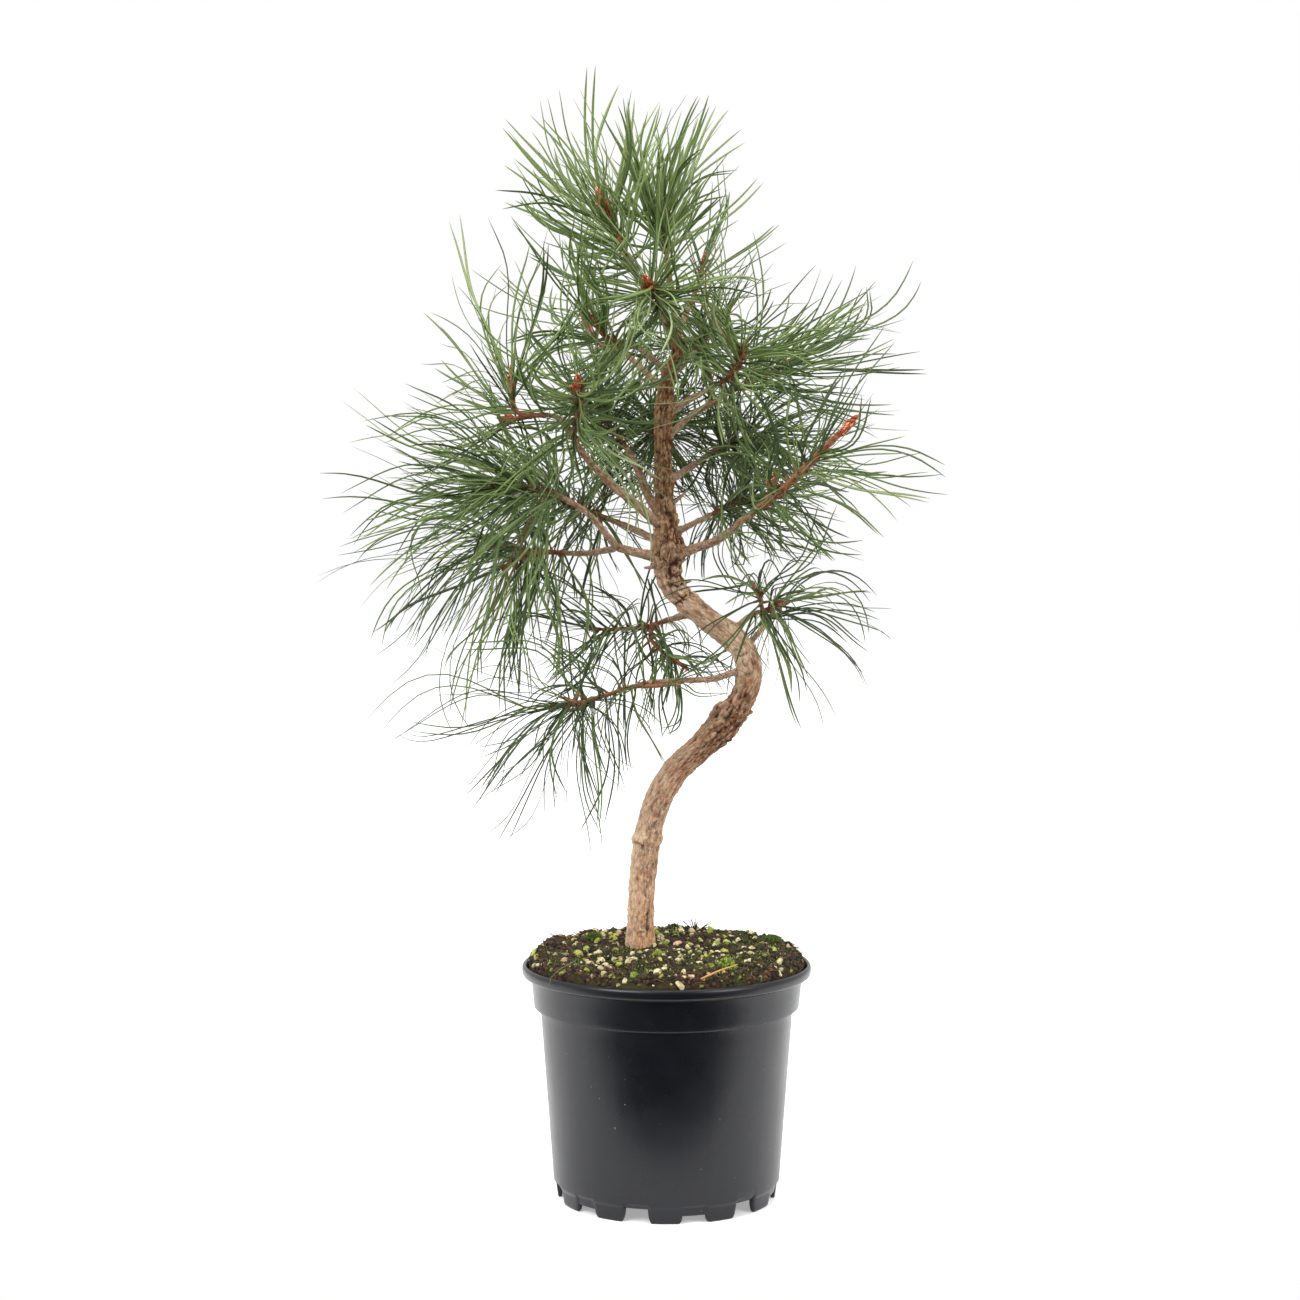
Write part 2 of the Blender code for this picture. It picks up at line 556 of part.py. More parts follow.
def build_mass(name, limbs, cutters, shoots, taken, finish, seed):
    """One mass of foliage: its stem, side shoots and buds with the needles that find room, fused."""
    mass = MASSES[name]
    chance = np.random.default_rng(seed)
    own = shoots[name]
    buds = bud_lines(name, own)
    others = []
    for key, lines in shoots.items():
        if key != name:
            others += lines + bud_lines(key, lines)
    own_points = np.vstack([dense_points(line, 0.0)[:, :3] for line, _ in own])
    other_points = np.vstack([dense_points(line, 0.0, 6.0)[:, :3] for line, _ in others])
    walls = np.vstack([dense_points(line, radii) for line, radii, _ in limbs.values()]
                      + [dense_points(line, radii) for line, radii in others] + taken)
    weights = np.array([line_length(line) for line, _ in own])
    lines = []
    for (line, _), weight in zip(own, weights / weights.sum()):
        lines.append(needle_lines(line, round(mass.pairs * weight), mass, chance))
    lines = np.concatenate(lines)
    wanted = round(len(lines) * NEEDLE_SHARE)
    kept = []
    kept_outer = []
    for number in reach_order(lines):
        if len(kept) == wanted:
            break
        line = lines[number][list(NEEDLE_RINGS)]
        points = dense_points(line, (*NEEDLE_RADII, NEEDLE_TIP))
        from_root = np.linalg.norm(points[:, :3] - line[0], axis=1)
        outer = points[from_root > ROOT_ZONE]
        if not keeps_to_its_space(line, own_points, other_points):
            continue
        if is_clear(points, walls) and (not kept_outer or is_clear(outer, np.vstack(kept_outer))):
            kept.append(lines[number])
            kept_outer.append(outer)
            taken.append(points)
    body = tube(name, *own[0], STEM_SIDES, finish)
    for cutter in cutters:
        cut_with_copy(body, cutter)
    keep_main_body(body)
    parts = bpy.data.collections.new("parts of " + name)
    pieces = [tube("side shoot or bud", line, radii, STEM_SIDES) for line, radii in own[1:] + buds]
    pieces += [solid_needle("needle", line) for line in kept]
    for piece in pieces:
        bpy.context.scene.collection.objects.unlink(piece)
        parts.objects.link(piece)
    combine(body, parts, "UNION", "MANIFOLD")
    bpy.data.collections.remove(parts)
    keep_main_body(body)
    return body


def cut_with_copy(piece, cutter):
    """Cut a copy of a cutter away from a piece, so that the cutter can be used again."""
    copy = cutter.copy()
    copy.data = cutter.data.copy()
    bpy.context.scene.collection.objects.link(copy)
    combine(piece, copy, "DIFFERENCE")


def boxes_meet(a, b):
    """Whether two objects' boxes meet."""
    first = np.array([vert.co for vert in a.data.vertices])
    second = np.array([vert.co for vert in b.data.vertices])
    return bool((first.min(0) < second.max(0)).all() and (second.min(0) < first.max(0)).all())


def build_limbs(limbs, bark):
    """The trunk and the boughs, each cut clear of those made before it."""
    cutters = {}
    for name, (line, radii, sides) in limbs.items():
        limb = tube(name, line, radii, sides, bark, level_foot=name == "trunk")
        for cutter in cutters.values():
            if boxes_meet(limb, cutter):
                cut_with_copy(limb, cutter)
        keep_main_body(limb)
        limb.data.shade_smooth()
        limb.data.set_sharp_from_angle(angle=math.radians(50))
        cutters[name] = swollen("around " + name, line, radii, sides)
    return cutters


def build_plant():
    """The whole potted pine."""
    clear_scene()
    plastic = material("pot plastic", (0.022, 0.021, 0.024), 0.38)
    peat = material("peat", (0.045, 0.026, 0.014), 0.95)
    bark = material("bark", (0.33, 0.19, 0.10), 0.85)
    leaf = material("needles", (0.06, 0.16, 0.05), 0.45)
    build_pot(plastic)
    build_soil(peat)
    limbs = limb_lines()
    cutters = build_limbs(limbs, bark)
    shoots = {name: shoot_lines(mass, limbs) for name, mass in MASSES.items()}
    taken = []
    for number, name in enumerate(MASSES):
        stem = tube("stem", *shoots[name][0], STEM_SIDES)
        near = [cutter for cutter in cutters.values() if boxes_meet(stem, cutter)]
        bpy.data.objects.remove(stem, do_unlink=True)
        build_mass(name, limbs, near, shoots, taken, leaf, 100 + number)
    for cutter in cutters.values():
        bpy.data.objects.remove(cutter, do_unlink=True)


build_plant()
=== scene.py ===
"""The looks of a young long-needled pine in a black plant pot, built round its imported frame.

The tables and the rule that grows the needles are those of the part's source, so that each
mass of needles here stands where its solid does. Sizes are in millimetres, angles in
degrees, and MM turns millimetres into metres where a mesh is made. The lamps and the camera
are placed in metres. -Y is the front.
"""
import itertools
import math
from collections import namedtuple

import bpy
import numpy as np
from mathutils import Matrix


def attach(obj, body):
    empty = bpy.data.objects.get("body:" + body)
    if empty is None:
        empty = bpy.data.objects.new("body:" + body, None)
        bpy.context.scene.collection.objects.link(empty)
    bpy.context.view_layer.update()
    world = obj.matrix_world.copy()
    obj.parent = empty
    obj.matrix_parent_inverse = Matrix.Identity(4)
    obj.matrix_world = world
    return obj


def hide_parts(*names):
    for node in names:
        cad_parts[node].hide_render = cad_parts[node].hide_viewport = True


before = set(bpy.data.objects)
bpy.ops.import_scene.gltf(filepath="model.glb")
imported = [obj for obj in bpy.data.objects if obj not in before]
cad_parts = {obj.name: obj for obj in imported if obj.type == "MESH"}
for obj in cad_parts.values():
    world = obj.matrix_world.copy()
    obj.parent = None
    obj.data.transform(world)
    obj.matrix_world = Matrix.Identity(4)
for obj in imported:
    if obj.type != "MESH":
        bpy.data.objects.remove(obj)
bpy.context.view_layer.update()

MM = 0.001

# The pot, as in the source
POT_TOP = 155.0
POT_FLOOR = 12.0
UNDERFLOOR = 9.5
FOOT_INNER = 69.0          # the radius of the feet's inner side
PAD_RADIUS = 30.0
FEET = 12
FOOT_TURN = -1.0           # degrees from the front to the middle of a foot
FOOT_WIDTH = 16.5          # degrees
GAP_HEIGHTS = (9.3, 5.0)   # the two kinds of gap between feet, in turn

SOIL_RADIUS = 90.6

# The stem: x and z of its middle line, its radius by height, and its swellings
TRUNK_LINE = [(-17, 165.3), (-17, 190), (-15, 218), (-10, 250), (3, 278), (27, 302), (46, 323),
              (54, 346), (46, 365), (18, 388), (3, 404), (1, 424), (0, 445), (-2, 470), (-2, 510), (1, 540),
              (7, 553), (5, 566)]
TRUNK_TAPER = [(165, 9.0), (300, 8.7), (346, 8.2), (385, 7.5), (410, 7.6), (440, 7.2), (460, 5.9),
               (510, 5.6), (535, 4.6), (553, 3.6), (566, 3.0)]
TRUNK_SWELLINGS = [(165, 1.0, 9.0), (236, 0.8, 5.0), (312, 1.3, 8.0), (425, 3.0, 10.0), (515, 0.9, 6.0)]
TRUNK_RINGS = 42

STEM_STEP = 10.0           # between the rings of a shoot
BOUGH_STEP = 11.0
GOLDEN_TURN = math.radians(137.5)
LINE_STEPS = 8             # of a needle's middle line
PAIR_OPENING = 5.0         # half the angle between the two needles of a pair


# One tapering limb. Its foot is a height on the stem, or the bough whose tip it grows on from
Bough = namedtuple("Bough", "foot points radii")
# One mass of foliage: the stem that grows on from a bough, its side shoots and its needles. The
# lengths, angles and droops of its needles are each given at the tip and at the base, and the
# zone is the part of each shoot that bears them
Mass = namedtuple("Mass", "bough stem pairs lengths angles droops sweep shoots zone",
                  defaults=(0.0, (), (0.0, 1.0)))

BOUGHS = {
    "bough_low_left": Bough(350, [(31, -8, 343), (5, -14, 342), (-13, -16, 341)], (2.3, 1.5)),
    "bough_mid_left": Bough(386, [(8, 8, 382), (1, 13, 380)], (2.4, 1.7)),
    "bough_whorl_left": Bough(420, [(-17, -2, 424), (-32, -6, 428)], (3.6, 2.6)),
    "bough_whorl_left_upper": Bough("bough_whorl_left", [(-41, -10, 439), (-52, -14, 451), (-68, -19, 461)],
                                    (2.4, 1.7)),
    "bough_whorl_left_lower": Bough("bough_whorl_left", [(-50, 4, 424), (-67, 10, 424)], (2.3, 1.8)),
    "bough_upper_left": Bough(438, [(-20, -8, 456), (-37, -17, 470), (-54, -28, 489), (-60, -33, 499)],
                              (3.4, 2.0)),
    "bough_upper_left_outer": Bough("bough_upper_left", [(-67, -38, 510), (-75, -41, 513)], (1.9, 1.5)),
    "bough_back_left": Bough(443, [(-12, 14, 461), (-19, 28, 478), (-26, 42, 492)], (3.4, 2.0)),
    "bough_back_left_low": Bough(428, [(-17, 22, 437), (-40, 42, 446)], (2.8, 1.8)),
    "bough_back_centre": Bough(478, [(-3, 22, 489), (-6, 42, 500)], (2.8, 1.8)),
    "bough_right_long": Bough(421, [(20, -4, 428), (35, -7, 434), (48, -10, 445), (56, -12, 451)],
                              (3.4, 2.2)),
    "bough_right_small": Bough(434, [(15, 7, 442), (30, 24, 449)], (2.3, 1.5)),
    "bough_right_upper": Bough(513, [(14, -2, 523), (32, -5, 533)], (2.6, 1.6)),
    "bough_right_upper_outer": Bough(497, [(18, 18, 515), (45, 34, 531)], (2.4, 1.6)),
    "bough_right_low": Bough(370, [(51, -3, 381), (56, -5, 385)], (2.4, 1.6)),
    "bough_right_low_back": Bough(361, [(59, 8, 370), (66, 18, 379)], (2.0, 1.4)),
    "bough_back_right": Bough(468, [(9, 12, 476), (19, 28, 482), (30, 42, 490)], (2.6, 1.7)),
    "bough_upper_back": Bough(538, [(10, 14, 546), (19, 30, 556)], (2.2, 1.6)),
    "bough_high_left": Bough(540, [(-12, -10, 552), (-24, -18, 559)], (2.2, 1.6)),
    "bough_high_left_back": Bough(528, [(-14, 18, 542), (-28, 36, 556)], (2.2, 1.6)),
    "bough_leader_left": Bough(563, [(-3, -2, 577), (-11, -4, 588)], (2.3, 1.8)),
    "bough_leader_right": Bough(563, [(5, 3, 577), (4, 5, 590)], (2.2, 1.8)),
    "bough_leader_front": Bough(562, [(3, -10, 570), (-2, -20, 579)], (2.2, 1.7)),
    "bough_leader_back": Bough(562, [(10, 12, 573), (15, 24, 586)], (2.2, 1.7)),
}

MASSES = {
    "needles_top_left": Mass("bough_leader_left", [(-21, -6, 606), (-32, -8, 628), (-40, -10, 646)],
                             27, (84, 94), (22, 76), (-0.3, -0.7), sweep=-0.2, zone=(0.3, 1.0)),
    "needles_top_right": Mass("bough_leader_right", [(0, 7, 615), (-3, 8, 643)],
                              24, (84, 86), (18, 50), (-0.2, -0.3), sweep=0.5, zone=(0.45, 1.0)),
    "needles_top_front": Mass("bough_leader_front", [(-6, -30, 586), (-11, -42, 594)],
                              27, (74, 80), (42, 108), (0.0, 0.8)),
    "needles_top_back": Mass("bough_leader_back", [(21, 38, 600), (25, 48, 617)],
                             7, (80, 78), (12, 66), (-0.2, 0.0)),
    "needles_upper_back": Mass("bough_upper_back", [(25, 42, 566), (29, 50, 571)],
                               26, (66, 76), (40, 108), (0.1, 0.5)),
    "needles_high_left": Mass("bough_high_left", [(-38, -26, 562), (-46, -32, 572)],
                              9, (94, 84), (12, 74), (-0.6, -0.3)),
    "needles_high_left_back": Mass("bough_high_left_back", [(-45, 55, 563), (-54, 64, 577)],
                                   9, (90, 80), (15, 84), (-0.8, -0.2)),
    "needles_upper_right": Mass("bough_right_upper", [(43, -6, 541), (49, -9, 555)],
                                20, (80, 88), (35, 108), (0.3, 0.4), sweep=0.2),
    "needles_right_upper_outer": Mass("bough_right_upper_outer", [(65, 42, 540), (82, 48, 549)],
                                      20, (104, 92), (12, 54), (0.1, 0.1), sweep=0.4),
    "needles_back_right": Mass("bough_back_right", [(47, 54, 497), (64, 62, 500)],
                               38, (74, 76), (32, 98), (0.0, 0.4), sweep=0.1),
    "needles_right_long": Mass("bough_right_long", [(75, -17, 466), (96, -22, 487), (112, -26, 503)],
                               28, (84, 76), (40, 90), (0.2, 0.2), sweep=0.2, zone=(0.0, 0.72),
                               shoots=[(0.18, [(66, -6, 460), (69, -2, 468)])]),
    "needles_right_small": Mass("bough_right_small", [(43, 38, 455), (56, 50, 459)],
                                32, (74, 70), (32, 100), (0.3, 0.6)),
    "needles_right_low": Mass("bough_right_low", [(65, -7, 388), (71, -8, 391)],
                              20, (84, 74), (24, 106), (0.8, 1.6),
                              shoots=[(0.4, [(61, -13, 392), (58, -17, 401)])]),
    "needles_right_low_back": Mass("bough_right_low_back", [(74, 30, 388), (79, 36, 389)],
                                   8, (100, 90), (25, 95), (1.1, 1.6)),
    "needles_mid_left_front": Mass("bough_upper_left", [(-56, -46, 517), (-56, -60, 530)],
                                   32, (82, 94), (55, 115), (-1.6, 1.4)),
    "needles_mid_left_outer": Mass("bough_upper_left_outer",
                                   [(-88, -46, 513), (-95, -50, 515), (-98, -51, 522), (-98, -51, 534)],
                                   13, (114, 100), (6, 56), (-0.4, 0.3), sweep=0.3, zone=(0.4, 1.0),
                                   shoots=[(0.2, [(-93, -39, 511), (-101, -35, 511)])]),
    "needles_back_left": Mass("bough_back_left", [(-38, 58, 508), (-46, 70, 522)],
                              34, (80, 80), (35, 104), (-0.4, 0.6)),
    "needles_back_left_low": Mass("bough_back_left_low", [(-63, 58, 455), (-80, 66, 459)],
                                  42, (84, 76), (30, 104), (0.0, 0.8)),
    "needles_back_centre": Mass("bough_back_centre", [(-5, 62, 506), (-2, 78, 508)],
                                48, (82, 80), (40, 110), (0.0, 0.8)),
    "needles_whorl_left_upper": Mass("bough_whorl_left_upper", [(-88, -26, 467), (-103, -32, 468)],
                                     50, (106, 92), (14, 84), (0.1, 0.6), sweep=-0.4),
    "needles_whorl_left_lower": Mass("bough_whorl_left_lower",
                                     [(-89, 16, 425), (-103, 20, 427), (-117, 24, 429)],
                                     40, (118, 112), (28, 92), (1.4, 2.6), sweep=-0.2,
                                     shoots=[(0.2, [(-88, 8, 424), (-104, -4, 416)])]),
    "needles_low_left": Mass("bough_low_left",
                             [(-30, -18, 336), (-46, -20, 331), (-62, -23, 327), (-71, -24, 326)],
                             39, (106, 70), (18, 104), (0.6, 1.6), sweep=0.2,
                             shoots=[(0.75, [(-59, -34, 330), (-66, -40, 333)]),
                                     (0.6, [(-54, -12, 327), (-60, -4, 322)]),
                                     (0.1, [(-17, -24, 339), (-6, -29, 340), (6, -30, 341)])]),
    "needles_mid_left": Mass("bough_mid_left", [(-14, 20, 375), (-32, 28, 373), (-48, 36, 372)],
                             42, (68, 58), (30, 112), (0.4, 1.3),
                             shoots=[(0.2, [(-10, 12, 366), (2, 6, 356), (12, 3, 349)])]),
}

# Working out lines and surfaces


def unit(vectors):
    """The vectors at length one."""
    return vectors / np.maximum(np.linalg.norm(vectors, axis=-1, keepdims=True), 1e-9)


def smooth_line(points, count):
    """A Catmull-Rom curve through the points, read at even steps of its length."""
    points = np.asarray(points, float)
    ends = np.vstack([2 * points[0] - points[1], points, 2 * points[-1] - points[-2]])
    t = np.linspace(0.0, 1.0, 12, endpoint=False)[:, None]
    runs = []
    for a, b, c, d in zip(ends[:-3], ends[1:-2], ends[2:-1], ends[3:]):
        runs.append(0.5 * (2 * b + (c - a) * t + (2 * a - 5 * b + 4 * c - d) * t ** 2
                           + (3 * b - a - 3 * c + d) * t ** 3))
    fine = np.vstack(runs + [points[-1:]])
    length = np.r_[0.0, np.cumsum(np.linalg.norm(np.diff(fine, axis=0), axis=1))]
    places = np.linspace(0.0, length[-1], count)
    return np.stack([np.interp(places, length, fine[:, k]) for k in range(fine.shape[1])], 1)


def line_length(line):
    """The length of a line of points."""
    return float(np.linalg.norm(np.diff(line, axis=0), axis=1).sum())


def hashed(cells, salt):
    """A number from 0 to 1 for each whole-number cell: its coordinates, each times a prime, mixed
    bit by bit."""
    mixed = cells[..., 0] * 73856093 ^ cells[..., 1] * 19349663 ^ cells[..., 2] * 83492791 ^ salt * 40503
    mixed = (mixed ^ (mixed >> 13)) * 1274126177
    mixed = (mixed ^ (mixed >> 16)) * 668265263
    mixed = mixed ^ (mixed >> 15)
    return (mixed & 0xFFFFFF) / 0xFFFFFF


def cloud(points, salt, octaves=3):
    """Soft noise from about -1 to 1: random numbers at the corners of a unit lattice, eased between
    them, summed over octaves of half the size and half the strength."""
    total = np.zeros(points.shape[:-1])
    for octave in range(octaves):
        scaled = points * 2.0 ** octave + 17.3 * octave
        cell = np.floor(scaled).astype(np.int64)
        part = scaled - cell
        ease = part * part * (3 - 2 * part)
        for corner in itertools.product((0, 1), repeat=3):
            weight = np.prod(np.where(np.array(corner) == 1, ease, 1 - ease), axis=-1)
            number = hashed(cell + corner, salt + octave) * 2 - 1
            total += number * weight * 0.5 ** octave
    return total


def plates(points, salt):
    """Cells round random middles, one in each lattice cube: the way from a point to the border
    between its two nearest middles, 0 on the border, and a number from 0 to 1 for its plate."""
    cell = np.floor(points).astype(np.int64)
    best = np.full(points.shape[:-1], 9.0)
    second = np.full(points.shape[:-1], 9.0)
    owner = np.zeros(points.shape[:-1])
    for shift in itertools.product((-1, 0, 1), repeat=3):
        near = cell + shift
        middle = near + np.stack([hashed(near, salt + k) for k in (1, 2, 3)], -1)
        apart = np.linalg.norm(points - middle, axis=-1)
        closer = apart < best
        second = np.where(closer, best, np.minimum(second, apart))
        owner = np.where(closer, hashed(near, salt + 4), owner)
        best = np.where(closer, apart, best)
    return second - best, owner


def grid_faces(rows, columns):
    """Four-sided faces of a grid of points, row by row, whose columns go round and meet. They face out
    where the columns run anticlockwise seen from the last row."""
    row, column = np.meshgrid(np.arange(rows - 1), np.arange(columns), indexing="ij")
    after = (column + 1) % columns
    low = row * columns
    high = low + columns
    return np.stack([low + column, low + after, high + after, high + column], -1).reshape(-1, 4)


def repeated(blocks, points, count):
    """The faces of one shape of so many points, given for each of many such shapes in a row."""
    starts = (np.arange(count) * points)[:, None, None]
    return [(block[None] + starts).reshape(-1, block.shape[1]) for block in blocks]


def fanned_faces(rows, columns):
    """The faces of a closed turned shape, for a grid that runs the other way round: the grid, and a fan
    at each end to a point of its own. The two points follow those of the grid."""
    ring = np.arange(columns)
    after = (ring + 1) % columns
    last = (rows - 1) * columns
    pole = np.full(columns, rows * columns)
    return [grid_faces(rows, columns)[:, ::-1], np.stack([ring, after, pole], 1),
            np.stack([last + after, last + ring, pole + 1], 1)]


def mesh_piece(name, points, blocks, finishes, slots=None, fields=None, smooth=True):
    """One object from points in millimetres and blocks of faces of equal corner count.
    Slots give each face its finish, and fields are numbers or vectors kept at its points."""
    mesh = bpy.data.meshes.new(name)
    mesh.vertices.add(len(points))
    mesh.vertices.foreach_set("co", (np.asarray(points, float) * MM).astype(np.float32).ravel())
    corners = np.concatenate([block.ravel() for block in blocks]).astype(np.int32)
    totals = np.concatenate([np.full(len(block), block.shape[1]) for block in blocks]).astype(np.int32)
    mesh.loops.add(len(corners))
    mesh.loops.foreach_set("vertex_index", corners)
    mesh.polygons.add(len(totals))
    mesh.polygons.foreach_set("loop_start", np.r_[0, np.cumsum(totals)[:-1]].astype(np.int32))
    mesh.polygons.foreach_set("use_smooth", np.full(len(totals), smooth))
    for finish in finishes:
        mesh.materials.append(finish)
    if slots is not None:
        mesh.polygons.foreach_set("material_index", np.asarray(slots, np.int32))
    for key, values in (fields or {}).items():
        values = np.asarray(values, np.float32)
        kind = "FLOAT" if values.ndim == 1 else "FLOAT_VECTOR"
        made = mesh.attributes.new(key, kind, "POINT")
        made.data.foreach_set("value" if kind == "FLOAT" else "vector", values.ravel())
    mesh.update(calc_edges=True)
    piece = bpy.data.objects.new(name, mesh)
    bpy.context.scene.collection.objects.link(piece)
    return piece


class Pile:
    """Shapes gathered into one joined mesh, each with its finish's number."""

    def __init__(self):
        self.points = []
        self.blocks = []
        self.slots = []
        self.fields = []
        self.count = 0

    def add(self, points, blocks, slot=0, **fields):
        """Adds a shape. Its slot is one finish's number, or a list of the faces' numbers by block."""
        points = np.asarray(points, float).reshape(-1, 3)
        self.points.append(points)
        for block, part in zip(blocks, slot if isinstance(slot, list) else [slot] * len(blocks)):
            self.blocks.append(block + self.count)
            self.slots.append(np.broadcast_to(part, len(block)))
        self.fields.append(fields)
        self.count += len(points)

    def piece(self, name, finishes):
        """The joined mesh as an object, with its faces in the order of their corner counts."""
        order = sorted(range(len(self.blocks)), key=lambda k: self.blocks[k].shape[1])
        widths = sorted({block.shape[1] for block in self.blocks})
        blocks = [np.concatenate([self.blocks[k] for k in order if self.blocks[k].shape[1] == width])
                  for width in widths]
        slots = np.concatenate([self.slots[k] for k in order])
        fields = {key: np.concatenate([part[key] for part in self.fields]) for key in self.fields[0]}
        return mesh_piece(name, np.concatenate(self.points), blocks, finishes, slots, fields)


# Growing the lines of the trunk, boughs, shoots and needles, by the source's rule


def trunk_radius(height):
    """The stem's radius: an even taper with a swelling at the root flare, each ring and each whorl."""
    radius = np.interp(height, *zip(*TRUNK_TAPER))
    for middle, extra, reach in TRUNK_SWELLINGS:
        radius = radius + extra * np.exp(-((height - middle) / reach) ** 2)
    return radius


def limb_lines():
    """The middle line and the radii of the trunk and of each bough, in the order they are made."""
    trunk = smooth_line([(x, 0.0, z) for x, z in TRUNK_LINE], TRUNK_RINGS)
    limbs = {"trunk": (trunk, trunk_radius(trunk[:, 2]))}
    for name, bough in BOUGHS.items():
        if isinstance(bough.foot, str):
            foot = limbs[bough.foot][0][-1]
        else:
            foot = (np.interp(bough.foot, trunk[:, 2], trunk[:, 0]), 0.0, bough.foot)
        guide = [foot] + bough.points
        rings = max(4, round(line_length(np.array(guide)) / BOUGH_STEP) + 1)
        limbs[name] = (smooth_line(guide, rings), np.linspace(*bough.radii, rings))
    return limbs


def shoot_lines(mass, limbs):
    """The lines of a mass's stem and side shoots. The stem grows on from its bough."""
    stem = smooth_line([limbs[mass.bough][0][-1]] + list(mass.stem), 20)
    shoots = []
    for guide in [stem] + [[stem[round(19 * share)]] + points for share, points in mass.shoots]:
        rings = max(4, round(line_length(np.array(guide)) / STEM_STEP) + 1)
        shoots.append(smooth_line(guide, rings))
    return shoots


def needle_lines(shoot, pairs, mass, chance):
    """The middle lines of the needles on one shoot, as an array of needles by steps by x, y and z.

    A pair of needles leaves the shoot every golden turn. Its length, its angle off the shoot and
    its droop change evenly from the shoot's base to its tip. Each needle then leans step by step
    towards the shoot's own way, down by the droop, to the side by the sweep and a little at
    random, and swings from side to side once.
    """
    fine = smooth_line(shoot, 40)
    share = np.linspace(0.0, 1.0, 40)
    order = (np.arange(pairs) + chance.uniform(0.2, 0.8, pairs)) / pairs
    first, last = mass.zone
    place = first + (last - first) * order ** 0.8
    ahead = np.minimum(place + 0.05, 1.0)
    root, front, back = (np.stack([np.interp(at, share, fine[:, k]) for k in range(3)], 1)
                         for at in (place, ahead, ahead - 0.1))
    axis = unit(front - back)
    level = np.where(np.abs(axis[:, 2:3]) < 0.9, [[0.0, 0.0, 1.0]], [[1.0, 0.0, 0.0]])
    across = unit(np.cross(axis, level))
    turn = np.arange(pairs) * GOLDEN_TURN + chance.normal(0.0, 0.25, pairs)
    out = across * np.cos(turn)[:, None] + np.cross(axis, across) * np.sin(turn)[:, None]
    angle, length, droop = (np.interp(order, (0, 1), pair[::-1])
                            for pair in (mass.angles, mass.lengths, mass.droops))
    angle = np.radians(angle + chance.normal(0.0, 12.0, pairs))[:, None]
    way = axis * np.cos(angle) + out * np.sin(angle)
    side = unit(np.cross(way, out) + 1e-6)
    length = length * chance.normal(0.97, 0.13, pairs).clip(0.6, 1.15)
    lines = []
    pull = np.stack([np.full(pairs, mass.sweep), np.zeros(pairs), -droop], 1) + axis * 0.3
    pull = pull + chance.normal(0.0, 0.5, (pairs, 3))
    wave = chance.normal(0.0, 0.24, (pairs, 3))
    for hand in (-1.0, 1.0):
        opening = (hand * math.radians(PAIR_OPENING) * chance.uniform(0.3, 1.2, pairs))[:, None]
        start = unit(way * np.cos(opening) + side * np.sin(opening))
        bend = pull + chance.normal(0.0, 0.16, (pairs, 3))
        stride = (length * chance.uniform(0.93, 1.05, pairs) / LINE_STEPS)[:, None]
        points = [root]
        for step in range(LINE_STEPS):
            share = (step + 0.5) / LINE_STEPS
            points.append(points[-1] + unit(start + bend * share + wave * math.sin(5.5 * share)) * stride)
        lines.append(np.stack(points, 1))
    return np.concatenate(lines)


# Finishes


def srgb(red, green, blue):
    """A colour from its 8-bit screen values, as the shader reads it."""
    parts = np.array((red, green, blue)) / 255.0
    parts = np.where(parts < 0.04045, parts / 12.92, ((parts + 0.055) / 1.055) ** 2.4)
    return (*parts.tolist(), 1.0)


def plain(name, colour, roughness, **sockets):
    """A Principled material of one colour."""
    made = bpy.data.materials.new(name)
    made.use_nodes = True
    shader = made.node_tree.nodes["Principled BSDF"]
    shader.inputs["Base Color"].default_value = colour
    shader.inputs["Roughness"].default_value = roughness
    for key, value in sockets.items():
        shader.inputs[key.replace("_", " ")].default_value = value
    made.diffuse_color = colour
    return made


def node(tree, kind, inputs=None, **settings):
    """A new node with its settings, and its inputs given as values or as sockets to link."""
    made = tree.nodes.new(kind)
    for key, value in settings.items():
        setattr(made, key, value)
    for key, value in (inputs or {}).items():
        if isinstance(value, bpy.types.NodeSocket):
            tree.links.new(value, made.inputs[key])
        else:
            made.inputs[key].default_value = value
    return made


def ramp(tree, value, stops):
    """A colour read from the value by stops of place and 8-bit colour."""
    made = node(tree, "ShaderNodeValToRGB", {"Fac": value})
    elements = made.color_ramp.elements
    while len(elements) < len(stops):
        elements.new(0.5)
    for element, (place, colour) in zip(elements, stops):
        element.position = place
        element.color = srgb(*colour)
    return made.outputs["Color"]


def mixed(tree, share, a, b, blend="MIX"):
    """One colour over another, by a share from 0 to 1."""
    inputs = {0: share, 6: a, 7: b}
    return node(tree, "ShaderNodeMix", inputs, data_type="RGBA", blend_type=blend).outputs[2]


def sum_of(tree, operation, a, b, held=False):
    """Two numbers joined by a math node, and held between 0 and 1 if asked."""
    return node(tree, "ShaderNodeMath", {0: a, 1: b}, operation=operation, use_clamp=held).outputs[0]


def laid_over(tree, colour, mask, share, top):
    """A colour with another over it where a mask is, at most by a share."""
    return mixed(tree, sum_of(tree, "MULTIPLY", mask, share, held=True), colour, top)


def between(tree, value, low, high, first=0.0, last=1.0):
    """A number that goes from first to last as the value goes from low to high, and stops there."""
    inputs = {"Value": value, "From Min": low, "From Max": high, "To Min": first, "To Max": last}
    return node(tree, "ShaderNodeMapRange", inputs).outputs["Result"]


